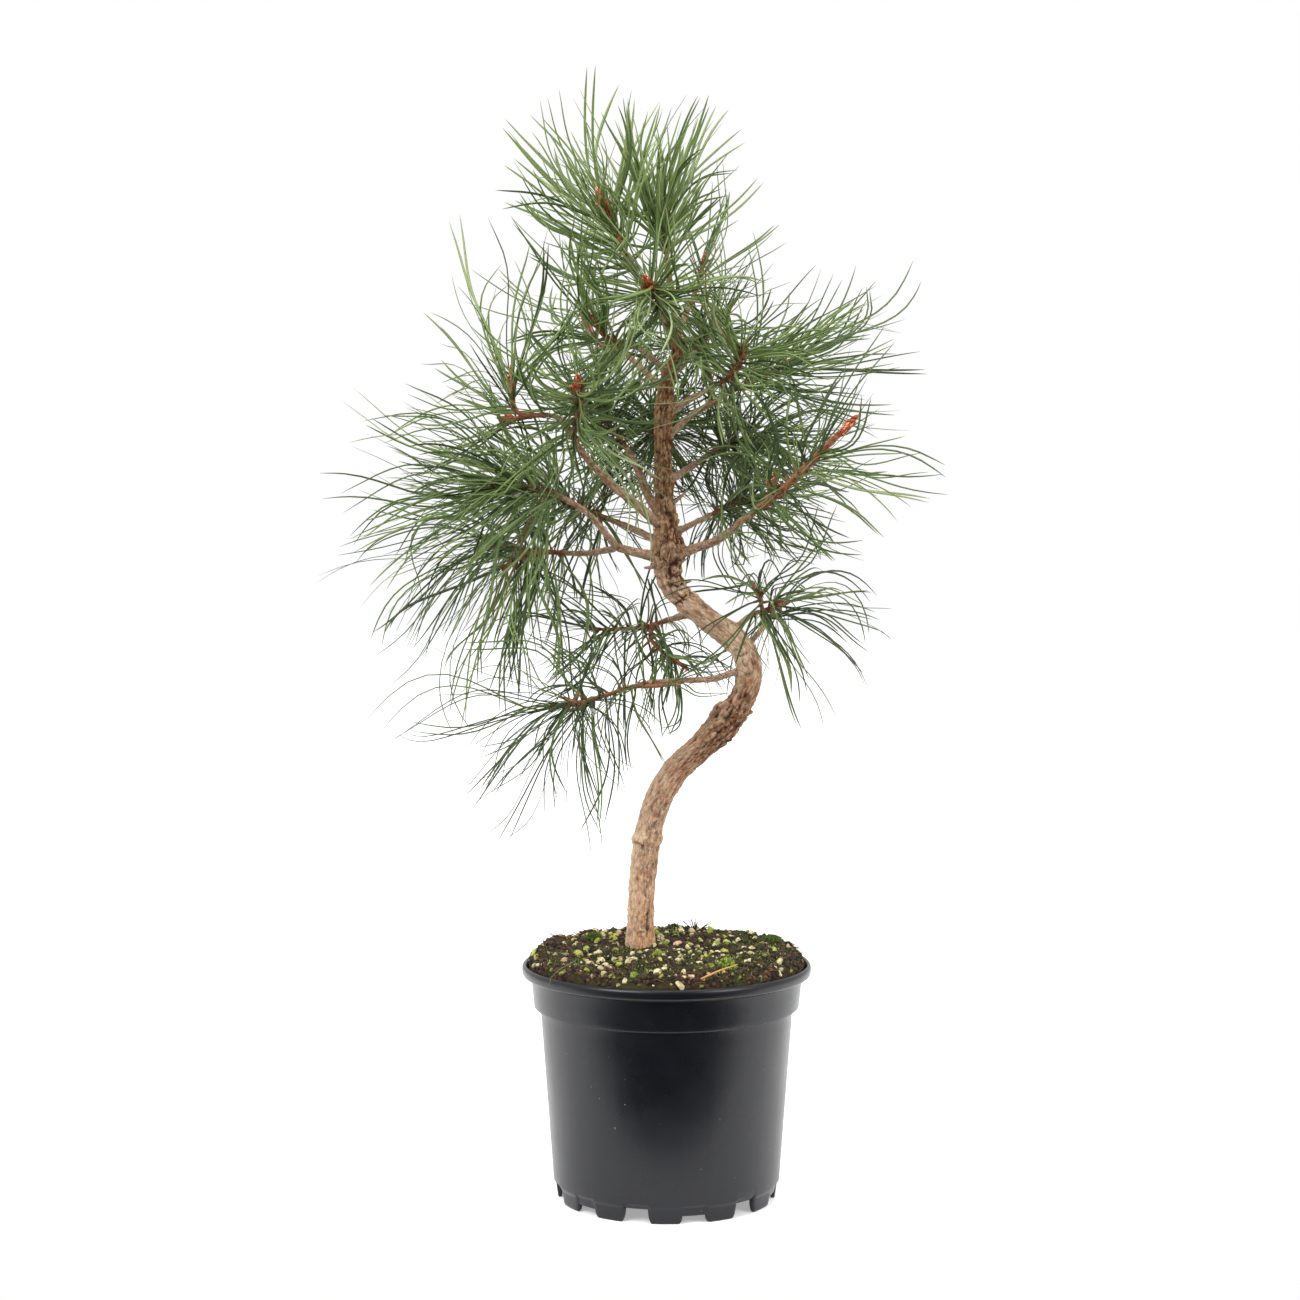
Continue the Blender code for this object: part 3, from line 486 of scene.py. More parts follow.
def build_grain_group():
    """A node group: soft grain at a place and scale, as a mask between two limits, and its height."""
    tree = bpy.data.node_groups.new("grain", "ShaderNodeTree")
    for name, kind, value in (("Place", "NodeSocketVector", None), ("Scale", "NodeSocketFloat", 100.0),
                              ("Detail", "NodeSocketFloat", 4.0), ("Low", "NodeSocketFloat", 0.4),
                              ("High", "NodeSocketFloat", 0.6)):
        socket = tree.interface.new_socket(name, in_out="INPUT", socket_type=kind)
        if value is not None:
            socket.default_value = value
    tree.interface.new_socket("Mask", in_out="OUTPUT", socket_type="NodeSocketFloat")
    tree.interface.new_socket("Height", in_out="OUTPUT", socket_type="NodeSocketFloat")
    given = tree.nodes.new("NodeGroupInput")
    result = tree.nodes.new("NodeGroupOutput")
    inputs = {"Vector": given.outputs["Place"], "Scale": given.outputs["Scale"],
              "Detail": given.outputs["Detail"], "Roughness": 0.6}
    noise = node(tree, "ShaderNodeTexNoise", inputs)
    mask = between(tree, noise.outputs["Fac"], given.outputs["Low"], given.outputs["High"])
    tree.links.new(mask, result.inputs["Mask"])
    tree.links.new(noise.outputs["Fac"], result.inputs["Height"])
    return tree


GRAIN = build_grain_group()


def grain(tree, place, scale, detail=4.0, low=0.4, high=0.6):
    """The grain group in a material: its mask and its height."""
    made = node(tree, "ShaderNodeGroup", node_tree=GRAIN)
    tree.links.new(place, made.inputs["Place"])
    for key, value in (("Scale", scale), ("Detail", detail), ("Low", low), ("High", high)):
        made.inputs[key].default_value = value
    return made.outputs["Mask"], made.outputs["Height"]


def stretched(tree, place, scale):
    """The place with each direction scaled."""
    return node(tree, "ShaderNodeMapping", {"Vector": place, "Scale": scale}).outputs["Vector"]


def scaled(tree, colour, strength):
    """A colour times a number."""
    made = node(tree, "ShaderNodeVectorMath", {0: colour, "Scale": strength}, operation="SCALE")
    return made.outputs["Vector"]


def begun(name, colour, roughness, specular):
    """A plain material to work up: the material, its nodes and its shader."""
    made = plain(name, colour, roughness, Specular_IOR_Level=specular)
    return made, made.node_tree, made.node_tree.nodes["Principled BSDF"]


def set_surface(tree, shader, colour, height=None, strength=0.0, depth=0.0):
    """Gives a shader its colour and, where there is a height, a bump with a depth in metres."""
    tree.links.new(colour, shader.inputs["Base Color"])
    if height is not None:
        bump = node(tree, "ShaderNodeBump", {"Strength": strength, "Distance": depth, "Height": height})
        tree.links.new(bump.outputs["Normal"], shader.inputs["Normal"])


def object_place(tree):
    """The place on the object, in metres."""
    return node(tree, "ShaderNodeTexCoord").outputs["Object"]


# Flecks on the bark: their scale across and along the limb, their detail, the two limits of their
# mask, how strong they are at most, and which of the bark's three shades they have
BROAD_FLECKS = [(130, 70, 3.0, 0.44, 0.6, 0.35, "pale"), (117, 71.5, 4.0, 0.48, 0.62, 0.55, "warm"),
                (120, 48, 3.0, 0.53, 0.63, 0.3, "dark")]
FINE_FLECKS = [(480, 210, 4.0, 0.48, 0.56, 0.62, "pale"), (330, 210, 6.0, 0.52, 0.6, 0.5, "warm"),
               (620, 200, 5.0, 0.51, 0.58, 0.42, "dark"), (1200, 900, 2.0, 0.6, 0.66, 0.6, "dark")]
RAMP_WAVER = 0.07          # how far the ramp of colours strays along the limb, as a share of it
PLATE_SHADES = (0.84, 1.14)
LIT_SIDE = -0.009          # metres to the left of the limb's middle where the painted light on its left side is strongest


def flecked(tree, place, colour, flecks, shades):
    """A colour under layers of flecks, and the height of each layer."""
    heights = []
    for across, lengthways, detail, low, high, share, shade in flecks:
        scale = (across, across, lengthways)
        mask, height = grain(tree, stretched(tree, place, scale), 1.0, detail, low, high)
        colour = laid_over(tree, colour, mask, share, shades[shade])
        heights.append(height)
    return colour, heights


def bark_finish(name, stops, low, high, dark, pale, warm, tints=None):
    """Bark: a ramp of colours from the low to the high end, under broad flecks, a shade of its own for
    each plate, fine flecks, painted light on the left side, painted highlights on the crests, painted
    shade in the crevices and dark scars, and the whole multiplied by a second ramp of tints. It reads
    the place on the straightened limb, the relief, the scars and the plates from the mesh."""
    made, tree, shader = begun(name, srgb(*stops[0][1]), 0.85, 0.25)
    shades = {"dark": srgb(*dark), "pale": srgb(*pale), "warm": srgb(*warm)}
    place = node(tree, "ShaderNodeAttribute", attribute_name="bark_place").outputs["Vector"]
    relief, scar, plate = (node(tree, "ShaderNodeAttribute", attribute_name=key).outputs["Fac"]
                           for key in ("relief", "scar", "plate"))
    split = node(tree, "ShaderNodeSeparateXYZ", {"Vector": place})
    waver, _ = grain(tree, stretched(tree, place, (60, 60, 25)), 1.0, 3.0, 0.0, 1.0)
    shift = sum_of(tree, "MULTIPLY", sum_of(tree, "SUBTRACT", waver, 0.5), RAMP_WAVER)
    along = sum_of(tree, "ADD", between(tree, split.outputs["Z"], low, high), shift)
    colour, _ = flecked(tree, place, ramp(tree, along, stops), BROAD_FLECKS, shades)
    colour = scaled(tree, colour, between(tree, plate, 0.0, 1.0, *PLATE_SHADES))
    colour, (_, flakes, cracks, _) = flecked(tree, place, colour, FINE_FLECKS, shades)
    # Painted light: the left side paler as if lit from the left, the crests of the relief paler as painted
    # highlights, and its crevices darker as painted shade; the scars are dark of their own
    masks = [(between(tree, split.outputs["X"], 0.0, LIT_SIDE), 0.4, "pale"),
             (between(tree, relief, 0.35, 1.1), 0.7, "pale"),
             (between(tree, relief, -0.2, -0.8), 0.9, "dark"), (scar, 1.0, "dark")]
    for mask, share, shade in masks:
        colour = laid_over(tree, colour, mask, share, shades[shade])
    if tints:
        colour = mixed(tree, 1.0, colour, ramp(tree, along, tints), "MULTIPLY")
    height = sum_of(tree, "ADD", sum_of(tree, "MULTIPLY", cracks, 0.6), flakes)
    set_surface(tree, shader, colour, height, 0.8, 0.0012)
    return made


def plastic_finish():
    """Black moulded plastic: satin, with faint clouding, a little dust and a few pale specks."""
    made, tree, shader = begun("pot plastic", srgb(20, 21, 27), 0.3, 0.4)
    place = object_place(tree)
    clouding, _ = grain(tree, place, 26.0, 3.0, 0.35, 0.7)
    specks, _ = grain(tree, place, 430.0, 1.0, 0.80, 0.81)
    dust, _ = grain(tree, place, 120.0, 6.0, 0.6, 0.85)
    colour = laid_over(tree, srgb(16, 17, 23), clouding, 0.5, srgb(22, 23, 30))
    colour = laid_over(tree, colour, dust, 0.1, srgb(96, 92, 90))
    set_surface(tree, shader, laid_over(tree, colour, specks, 0.6, srgb(140, 136, 128)))
    tree.links.new(between(tree, clouding, 0.0, 1.0, 0.26, 0.34), shader.inputs["Roughness"])
    return made


def earth_finish(name, dark, light, green):
    """Damp peat: dark crumbs with brown lights and a film of green."""
    made, tree, shader = begun(name, dark, 0.9, 0.3)
    place = object_place(tree)
    crumbs, height = grain(tree, place, 260.0, 6.0, 0.4, 0.68)
    film, _ = grain(tree, place, 38.0, 4.0, 0.46, 0.6)
    colour = laid_over(tree, mixed(tree, crumbs, dark, light), film, 0.75, green)
    set_surface(tree, shader, colour, height, 0.9, 0.0012)
    return made


def grit_finish(name, light, stain):
    """A grain of pumice: pale, pitted, with a stain in its hollows and in patches."""
    made, tree, shader = begun(name, light, 0.85, 0.3)
    place = object_place(tree)
    pits, height = grain(tree, place, 620.0, 4.0, 0.5, 0.62)
    patches, _ = grain(tree, place, 240.0, 3.0, 0.47, 0.56)
    colour = laid_over(tree, light, patches, 0.6, stain)
    set_surface(tree, shader, laid_over(tree, colour, pits, 0.4, stain), height, 0.5, 0.0004)
    return made


# The stem and its boughs

BARK_AROUND = 112
BARK_STEP = 0.68           # along the stem
# How rugged the stem's bark is by height
RUGGEDNESS = [(165, 1.0), (230, 0.8), (290, 1.0), (303, 1.7), (316, 2.4), (328, 1.7), (342, 0.9),
              (380, 1.0), (400, 1.6), (420, 2.0), (440, 1.9), (460, 1.5), (566, 1.3)]
# Height, rise and half the width of each ring round the stem
RINGS = [(237.0, 0.7, 1.6), (233.6, -0.5, 0.9), (231.2, -0.3, 0.7), (307.0, -0.5, 1.2), (325.0, -0.4, 1.2),
         (361.0, -0.35, 0.9), (365.0, 0.4, 1.5), (390.5, 0.5, 1.5), (394.5, -0.8, 0.8), (398.0, 0.6, 1.1),
         (401.5, -0.7, 0.7), (405.0, 0.4, 1.1), (408.5, -0.7, 0.8), (412.5, 0.5, 1.3), (416.5, -0.7, 0.8),
         (441.0, -0.7, 0.9), (445.0, 0.5, 1.2), (449.0, -0.6, 0.7), (462.0, -0.5, 1.2)]
# Height, degrees from the front towards the right, length, radius and rise of each dead stub
STUBS = [(436, 72, 13, 1.7, 0.5), (418, -78, 6, 1.2, -0.2), (441, -82, 17, 0.5, 0.35),
         (405, 84, 5, 1.3, 0.1), (452, 66, 8, 0.9, 0.9), (409, 20, 3, 1.2, -0.3), (318, 88, 4, 1.5, 0.2),
         (375, 78, 4, 1.1, 0.3), (470, -70, 5, 0.9, 0.6), (430, -30, 3, 1.0, 0.4), (431, 150, 8, 1.3, 0.3),
         (415, -140, 6, 1.2, 0.2)]
# Height, degrees, rise and reach of each knob
KNOBS = [(317, -72, 3.2, 6.5), (309, 86, 1.9, 4.0), (240, 84, 1.1, 3.5), (306, -18, 0.9, 4.5),
         (320, 24, 1.0, 5.0), (430, 80, 1.0, 5.0), (412, -80, 1.2, 5.0), (404, 95, 1.0, 5.0),
         (446, -60, 0.8, 4.0), (372, 60, 1.2, 5.0), (190, 88, 0.6, 2.5), (470, 70, 0.7, 3.0),
         (500, -70, 0.8, 3.0), (205, -88, 0.5, 2.0)]
# Height, degrees, half the height and half the width of each dark scar
SCARS = [(247, 14, 2.6, 1.5), (242, 32, 1.8, 1.2), (234, -38, 1.2, 2.6), (211, -20, 1.3, 1.8),
         (221, 38, 1.4, 1.0), (313, -52, 4.5, 1.6), (318, -10, 5.0, 2.2), (310, 12, 3.5, 2.0),
         (325, 30, 2.0, 1.6), (345, -8, 1.6, 2.4), (352, 24, 1.3, 1.6), (176, 6, 1.2, 1.8),
         (262, 40, 1.6, 1.0), (332, 8, 1.8, 1.8), (398, -20, 2.4, 2.4), (418, 30, 3.0, 2.5),
         (434, -16, 3.0, 2.0), (376, 10, 1.5, 2.0), (188, 30, 1.0, 1.4), (363, -30, 1.5, 2.0)]
SCAR_SHADE = 0.4           # how dark the scars are, as a share
COLLAR_RISE = 0.36         # of the stem round a bough's foot, as a share of the bough's radius
COLLAR_REACH = 1.7         # of the same, in the bough's radii
STUB_SALT = 80             # the first number of the stubs' noise
# A tube's points round it, and the step between its rings
BOUGH_MESH = (28, 0.8)
STUB_MESH = (14, 0.6)
SHOOT_MESH = (20, 0.9)


def limb_frame(line):
    """The directions along, to the front side of and across a limb at each point of its line."""
    along = unit(np.gradient(line, axis=0))
    upright = abs(unit(line[-1] - line[0])[1]) < 0.8
    front = np.array((0.0, -1.0, 0.0) if upright else (1.0, 0.0, 0.0))
    side = unit(front - along * (along @ front)[:, None])
    return along, side, np.cross(along, side)


def limb_skin(line, radii, around):
    """Round a limb, by ring and by turn: the way out, which is cos turn of the side direction plus sin
    turn of the across direction, the place on the straightened limb, the turns, and how far along its
    rings are."""
    _, side, across = limb_frame(line)
    turns = 2 * math.pi * np.arange(around) / around
    reach = np.linalg.norm(np.diff(line, axis=0), axis=1)
    far = np.r_[0.0, np.cumsum(reach)]
    straight = np.stack(np.broadcast_arrays(np.sin(turns)[None, :] * radii[:, None],
                                            -np.cos(turns)[None, :] * radii[:, None], far[:, None]), -1)
    out = side[:, None, :] * np.cos(turns)[None, :, None]
    out = out + across[:, None, :] * np.sin(turns)[None, :, None]
    return out, straight, turns, far


def capped(rows, around):
    """The faces of a closed tube: its grid and a cap at each end."""
    ring = np.arange(around)[None, :]
    return [grid_faces(rows, around), ring[:, ::-1], ring + (rows - 1) * around]


def way_round(degrees, turn, base):
    """How far round the stem each point lies from a turn, by ring and by turn."""
    return ((degrees - turn + 180) % 360 - 180)[None, :] * math.pi / 180 * base[:, None]


def bark_relief(straight, height):
    """Wavering ridges along the stem, cracks round flakes that stand out each by its own amount, fine
    grain and, where the bark is rugged, folds across, and the rings. Also each flake's own number."""
    wobble = cloud(straight * 0.12, 3) * 1.2
    wavy = straight + wobble[..., None]
    ridges = 1 - np.abs(cloud(wavy * (0.36, 0.36, 0.07), 5, 2)) * 2
    border, owner = plates(wavy * (0.30, 0.30, 0.16), 9)
    fine = cloud(straight * (0.9, 0.9, 0.35), 21, 2)
    rugged = np.interp(height, *zip(*RUGGEDNESS))
    cracks = -np.exp(-(border / 0.12) ** 2)
    folds = 1 - np.abs(cloud((straight + wobble[..., None] * 2) * (0.1, 0.1, 0.34), 13, 2)) * 2
    folds = folds * np.clip(rugged - 1.2, 0.0, 1.0)
    relief = rugged * (0.3 * ridges + 0.42 * cracks + 0.28 * (owner - 0.5) + 0.3 * fine + 0.16 * folds)
    level = height + 2.5 * wobble
    for at, rise, wide in RINGS:
        relief = relief + rise * np.exp(-((level - at) / wide) ** 2) * (0.6 + owner)
    return relief, owner


def bark_lumps(height, degrees, base, skin, coarse):
    """What swells the stem: the hollow and the raised border of each scar, the knobs, and a collar
    round the foot of each bough. Also how scarred each point is, from 0 to 1."""
    lumps = np.zeros(height.shape)
    scar = np.zeros(height.shape)
    for at, turn, high, wide in SCARS:
        away = np.sqrt(((height - at) / high) ** 2 + (way_round(degrees, turn, base) / wide) ** 2)
        mark = np.exp(-away ** 4)
        scar = np.maximum(scar, mark)
        lumps = lumps - 0.5 * mark + 0.35 * np.exp(-((away - 1.5) / 0.4) ** 2)
    for at, turn, rise, reach in KNOBS:
        away = (height - at) ** 2 + way_round(degrees, turn, base) ** 2
        lumps = lumps + rise * np.exp(-away / reach ** 2)
    for bough in BOUGHS.values():
        if isinstance(bough.foot, str):
            continue
        foot = np.array((np.interp(bough.foot, coarse[:, 2], coarse[:, 0]), 0.0, bough.foot))
        way = unit(np.array(bough.points[0]) - foot)
        apart = np.linalg.norm(skin - (foot + way * trunk_radius(bough.foot)), axis=-1)
        thick = bough.radii[0]
        lumps = lumps + thick * COLLAR_RISE * np.exp(-(apart / (thick * COLLAR_REACH)) ** 2)
    return lumps, scar


def build_trunk(limbs, finish):
    """The stem with its bark in relief: its radius plus the relief, the lumps and slow soft noise."""
    coarse, _ = limbs["trunk"]
    count = round(line_length(coarse) / BARK_STEP)
    line = smooth_line(coarse, count)
    base = trunk_radius(line[:, 2])
    out, straight, turns, _ = limb_skin(line, base, BARK_AROUND)
    height = np.broadcast_to(line[:, 2][:, None], out.shape[:2])
    relief, owner = bark_relief(straight, height)
    plain_skin = line[:, None, :] + out * base[:, None, None]
    lumps, scar = bark_lumps(height, np.degrees(turns), base, plain_skin, coarse)
    radius = base[:, None] + relief + lumps + 0.45 * cloud(straight * 0.09, 31, 2)
    radius[-6:] *= np.linspace(1.0, 0.7, 6)[:, None]
    skin = line[:, None, :] + out * radius[..., None]
    skin[0, :, 2] = line[0, 2]
    place = straight.copy()
    place[..., 2] = height
    fields = {"bark_place": place.reshape(-1, 3) * MM, "relief": relief.ravel(),
              "scar": SCAR_SHADE * scar.ravel(), "plate": owner.ravel()}
    blocks = capped(count, BARK_AROUND)
    trunk = mesh_piece("trunk_bark", skin.reshape(-1, 3), blocks, [finish], fields=fields)
    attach(trunk, "root")
    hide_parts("trunk")


def cushion_relief(far, turns, base, pitch):
    """Soft bumps from 0 to 1 on a limb, one every golden turn and every pitch along it."""
    number = np.arange(int(far[-1] / pitch) + 1)
    at = number * pitch
    turn = (number * GOLDEN_TURN) % (2 * math.pi)
    total = np.zeros((len(far), len(turns)))
    for shift in (-1, 0, 1):
        near = np.clip(np.round(far / pitch).astype(int) + shift, 0, len(number) - 1)
        round_way = (turns[None, :] - turn[near][:, None] + math.pi) % (2 * math.pi) - math.pi
        away = (far - at[near])[:, None] ** 2 / 2.2 + (round_way * base[:, None]) ** 2
        total = total + np.exp(-away)
    return total


def rough_tube(pile, line, radii, around, step, flare=0.0, cushions=0.0, salt=0, pitch=2.4):
    """A limb with rough bark in a pile: its tapering radius, a flare at its foot that dies away
    exponentially under a few wrinkles, soft noise, cracks round flakes, and raised cushions where
    needles once stood. Each salt gives a bark of its own."""
    count = max(6, round(line_length(line) / step))
    fine = smooth_line(line, count)
    share = np.linspace(0.0, 1.0, count)
    base = np.interp(share, np.linspace(0.0, 1.0, len(radii)), radii)
    out, straight, turns, far = limb_skin(fine, base, around)
    wrinkles = 0.3 * min(flare, 1.0) * np.sin(far * 2.4) * np.exp(-far / 9.0)
    base = base + flare * np.exp(-far / 5.0) + wrinkles
    shifted = straight + 40.0 * salt
    relief = 0.22 * cloud(shifted * (0.5, 0.5, 0.2), 41) + 0.12 * cloud(shifted * (1.2, 1.2, 0.7), 43, 2)
    border, owner = plates(shifted * (0.45, 0.45, 0.28), 77)
    relief = relief - 0.2 * np.exp(-(border / 0.14) ** 2)
    if cushions:
        relief = relief + cushions * cushion_relief(far, turns, base, pitch)
    radius = base[:, None] + relief * np.minimum(1.0, base[:, None] / 2.0)
    skin = fine[:, None, :] + out * radius[..., None]
    skin[-1] = fine[-1] + (skin[-1] - fine[-1]) * 0.55
    pile.add(skin, capped(count, around), bark_place=straight.reshape(-1, 3) * MM,
             relief=(relief - cushions * 0.4).ravel(), scar=np.zeros(relief.size), plate=owner.ravel())


def build_boughs(limbs, finish):
    """The boughs, each with a flared foot sunk in what carries it, and the dead stubs, in one mesh."""
    pile = Pile()
    for number, (name, bough) in enumerate(BOUGHS.items()):
        line, radii = limbs[name]
        flare = 0.0 if isinstance(bough.foot, str) else 0.5 * bough.radii[0]
        rough_tube(pile, line, radii, *BOUGH_MESH, flare=flare, cushions=0.28, salt=number)
    stem, _ = limbs["trunk"]
    for number, (height, degrees, length, radius, rise) in enumerate(STUBS):
        middle = np.array([np.interp(height, stem[:, 2], stem[:, k]) for k in (0, 1)] + [height])
        way = np.array((math.sin(math.radians(degrees)), -math.cos(math.radians(degrees)), rise))
        foot = middle + way * trunk_radius(height) * 0.8
        tip = foot + way * (trunk_radius(height) * 0.3 + length)
        bend = (foot + tip) / 2 + np.array((0.0, 0.0, -0.12 * length))
        radii = np.array([1.15, 0.9, 0.55]) * radius
        rough_tube(pile, smooth_line([foot, bend, tip], 5), radii, *STUB_MESH, flare=0.5 * radius,
                   salt=STUB_SALT + number)
    boughs = pile.piece("boughs", [finish])
    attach(boughs, "root")
    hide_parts(*BOUGHS)


# The foliage

# Where a needle's rings are along it, and its section: a half round with a slight hollow
NEEDLE_PLACES = np.r_[0.0, 0.06, np.linspace(0.15, 0.86, 9), 0.92, 0.965, 1.0]
SECTION = np.array([(1.0, 0.0), (0.5, -0.56), (-0.5, -0.56), (-1.0, 0.0), (0.0, -0.14)])
# By the height of the root: half the width of a needle, and its middle tone, painted light that makes the
# needles lighter high up and darker low down
NEEDLE_HALF_WIDTHS = [(330, 0.57), (450, 0.63), (560, 0.80), (640, 0.88)]
NEEDLE_TONES = [(330, 0.5), (450, 1.6), (560, 2.9), (640, 3.5)]
TONE_SPREAD = 1.3
BACK_SHADE = 0.9           # how many tones darker the needles at the back are, as painted shade
BACK_FROM = 25.0           # where the back starts
# Layers of growth: seed, pairs and length as shares of the source's, and how much wider they stand off
LAYERS = [(100, 1.0, 1.0, 0.0), (500, 0.9, 0.68, 12.0), (900, 0.45, 0.92, 6.0)]
# Mass: its needles' length, and their droop at the tip and at the base, as shares of the source's
HANGING = {"needles_low_left": (1.15, 0.1, 1.5), "needles_right_low_back": (1.06, 1.0, 1.1),
           "needles_mid_left": (1.0, 0.3, 1.3), "needles_whorl_left_lower": (1.0, 0.7, 1.2)}
SWAYS = (2.2, 1.2, 0.7)    # the bow and the wave of a pair, and the bow of each needle, at full length
SOFTNESS = [(350, 1.6), (430, 1.4), (500, 1.0)]    # how much more they bow, by the height of the root
FULL_LENGTH = 95.0
# The masses on the left whose needles stay clear of the lower stem: below the height nothing passes
# the first place, beside the stem's middle, and nothing passes the second anywhere
KEPT_LEFT = ("needles_low_left", "needles_mid_left")
LOWER_STEM = 304.0
STEM_SIDES = (-10.0, 15.0)
# Mass: how many pairs its inner layers have here, as a share
FULLNESS = {"needles_whorl_left_lower": 0.7, "needles_whorl_left_upper": 0.75, "needles_right_low": 0.75,
            "needles_low_left": 0.8, "needles_mid_left": 0.75, "needles_top_left": 0.8,
            "needles_back_centre": 1.25, "needles_upper_back": 1.2, "needles_mid_left_front": 0.7,
            "needles_mid_left_outer": 0.75, "needles_back_left_low": 0.8, "needles_right_long": 0.85,
            "needles_right_low_back": 0.8, "needles_top_front": 1.2, "needles_upper_right": 1.1}
LIMB_GAP = 0.6             # between a needle and a limb, at least
WALL_STEP = 2.5            # between the points that stand for a limb in that test
# The needles' greens from dark to light: which one a pair gets is partly painted light and shade, by height
# and at the back, and partly random
GREENS = [(62, 80, 42), (82, 104, 54), (102, 124, 66), (120, 142, 80), (138, 158, 98), (154, 170, 118)]
DRY = (128, 106, 62)
DRY_SHARE = 0.006
# Piece: the masses whose needles it holds
REGIONS = {
    "needles_of_the_top": ["top_left", "top_right", "top_front", "top_back", "upper_back", "high_left",
                           "high_left_back"],
    "needles_of_the_right": ["upper_right", "right_upper_outer", "back_right", "right_long", "right_small"],
    "needles_of_the_left": ["mid_left_front", "mid_left_outer", "back_left", "whorl_left_upper"],
    "needles_of_the_middle": ["back_centre", "back_left_low", "whorl_left_lower"],
    "needles_of_the_foot": ["low_left", "mid_left", "right_low", "right_low_back"],
}


def layer_of(mass, reach, wider, drooping):
    """The same mass with its needles' lengths and droops multiplied and their angles widened."""
    return mass._replace(lengths=[length * reach for length in mass.lengths],
                         angles=[angle + wider for angle in mass.angles],
                         droops=[droop * share for droop, share in zip(mass.droops, drooping)])


def swayed(both, chance):
    """Needles with soft bows: each pair and each needle bent sideways by a sine that is nought at its
    root and its tip, more so the lower their root."""
    share = np.linspace(0.0, 1.0, LINE_STEPS + 1)[:, None]
    pairs = both.shape[1]
    first, second = chance.normal(0.0, 1.0, (2, 1, pairs, 1, 3))
    own = chance.normal(0.0, 1.0, (2, pairs, 1, 3))
    pair_bow, pair_wave, own_bow = SWAYS
    length = np.linalg.norm(both[:, :, -1] - both[:, :, 0], axis=-1)
    soft = (length / FULL_LENGTH) ** 2 * np.interp(both[:, :, 0, 2], *zip(*SOFTNESS))
    bow = (first * pair_bow + own * own_bow) * np.sin(math.pi * share)
    return both + (bow + second * pair_wave * np.sin(2 * math.pi * share)) * soft[:, :, None, None]


def crosses_stem(both):
    """Which pairs of the masses on the left hang in front of the lower stem or reach past the stem."""
    spine = np.array(TRUNK_LINE)
    right = both[..., 0] - np.interp(both[..., 2], spine[:, 1], spine[:, 0])
    low, anywhere = STEM_SIDES
    return (((both[..., 2] < LOWER_STEM) & (right > low)) | (right > anywhere)).any(axis=(0, 2))


def curve_weights(places, knots):
    """The weights that read a Catmull-Rom curve through evenly spaced knots at places from 0 to 1. Past
    its ends the curve goes on straight."""
    weights = np.zeros((len(places), knots))
    for row, place in enumerate(places * (knots - 1)):
        start = min(int(place), knots - 2)
        t = place - start
        parts = (-t + 2 * t ** 2 - t ** 3, 2 - 5 * t ** 2 + 3 * t ** 3,
                 t + 4 * t ** 2 - 3 * t ** 3, -t ** 2 + t ** 3)
        for knot, part in enumerate(parts, start - 1):
            if 0 <= knot < knots:
                weights[row, knot] += part
            else:
                end, inner = (0, 1) if knot < 0 else (-1, -2)
                weights[row, end] += 2 * part
                weights[row, inner] -= part
    return weights * 0.5


def needle_skins(lines, facing, width):
    """Points of many needles by needle, ring and corner. Each is a half-round rod with its flat side
    towards its partner: middle plus half-width times the section, which tapers at the tip."""
    fine = np.einsum("rk,nkx->nrx", curve_weights(NEEDLE_PLACES, LINE_STEPS + 1), lines)
    along = unit(np.gradient(fine, axis=1))
    flat = unit(facing[:, None, :] - along * np.sum(along * facing[:, None, :], -1, keepdims=True))
    across = np.cross(along, flat)
    taper = (1 - 0.9 * NEEDLE_PLACES ** 9) * np.interp(NEEDLE_PLACES, [0.0, 0.1], [0.8, 1.0])
    half = width[:, None] * taper[None, :]
    wide, deep = SECTION[None, None, :, :1], SECTION[None, None, :, 1:]
    return (fine[:, :, None, :] + across[:, :, None, :] * wide * half[..., None, None]
            + flat[:, :, None, :] * deep * half[..., None, None])


def many_tubes(count, rings, sides):
    """The faces of many closed tubes of the same grid."""
    return repeated(capped(rings, sides), rings * sides, count)


def limb_walls(limbs):
    """Points along all limbs, each with the limb's radius there."""
    walls = []
    for line, radii in limbs.values():
        fine = smooth_line(line, max(4, round(line_length(line) / WALL_STEP)))
        thick = np.interp(np.linspace(0, 1, len(fine)), np.linspace(0, 1, len(radii)), radii)
        walls.append(np.column_stack([fine, thick]))
    return np.vstack(walls)


def clear_of_limbs(lines, walls):
    """Which needles keep a gap from all limbs, past their own roots."""
    keep = np.ones(len(lines), bool)
    for step in range(2, LINE_STEPS + 1):
        for half in (0.0, 0.5):
            points = lines[:, step] * (1 - half) + lines[:, step - 1] * half
            apart = np.linalg.norm(points[:, None, :] - walls[None, :, :3], axis=2) - walls[None, :, 3]
            keep &= apart.min(1) > LIMB_GAP
    return keep


def grown_pairs(number, name, own):
    """All layers of a mass's needles, by hand, pair, step and place. Its own seeds follow its number."""
    mass = MASSES[name]
    weights = np.array([line_length(line) for line in own])
    weights = weights / weights.sum()
    longer, *drooping = HANGING.get(name, (1.0, 1.0, 1.0))
    found = []
    for seed, share, reach, wider in LAYERS:
        kind = layer_of(mass, reach * longer, wider, drooping)
        rule = np.random.default_rng(seed + number)
        full = share * (FULLNESS.get(name, 1.0) if share < 1.0 else 1.0)
        for line, weight in zip(own, weights):
            pairs = round(mass.pairs * weight * full)
            found.append(needle_lines(line, pairs, kind, rule).reshape(2, pairs, LINE_STEPS + 1, 3))
    return np.concatenate(found, axis=1)


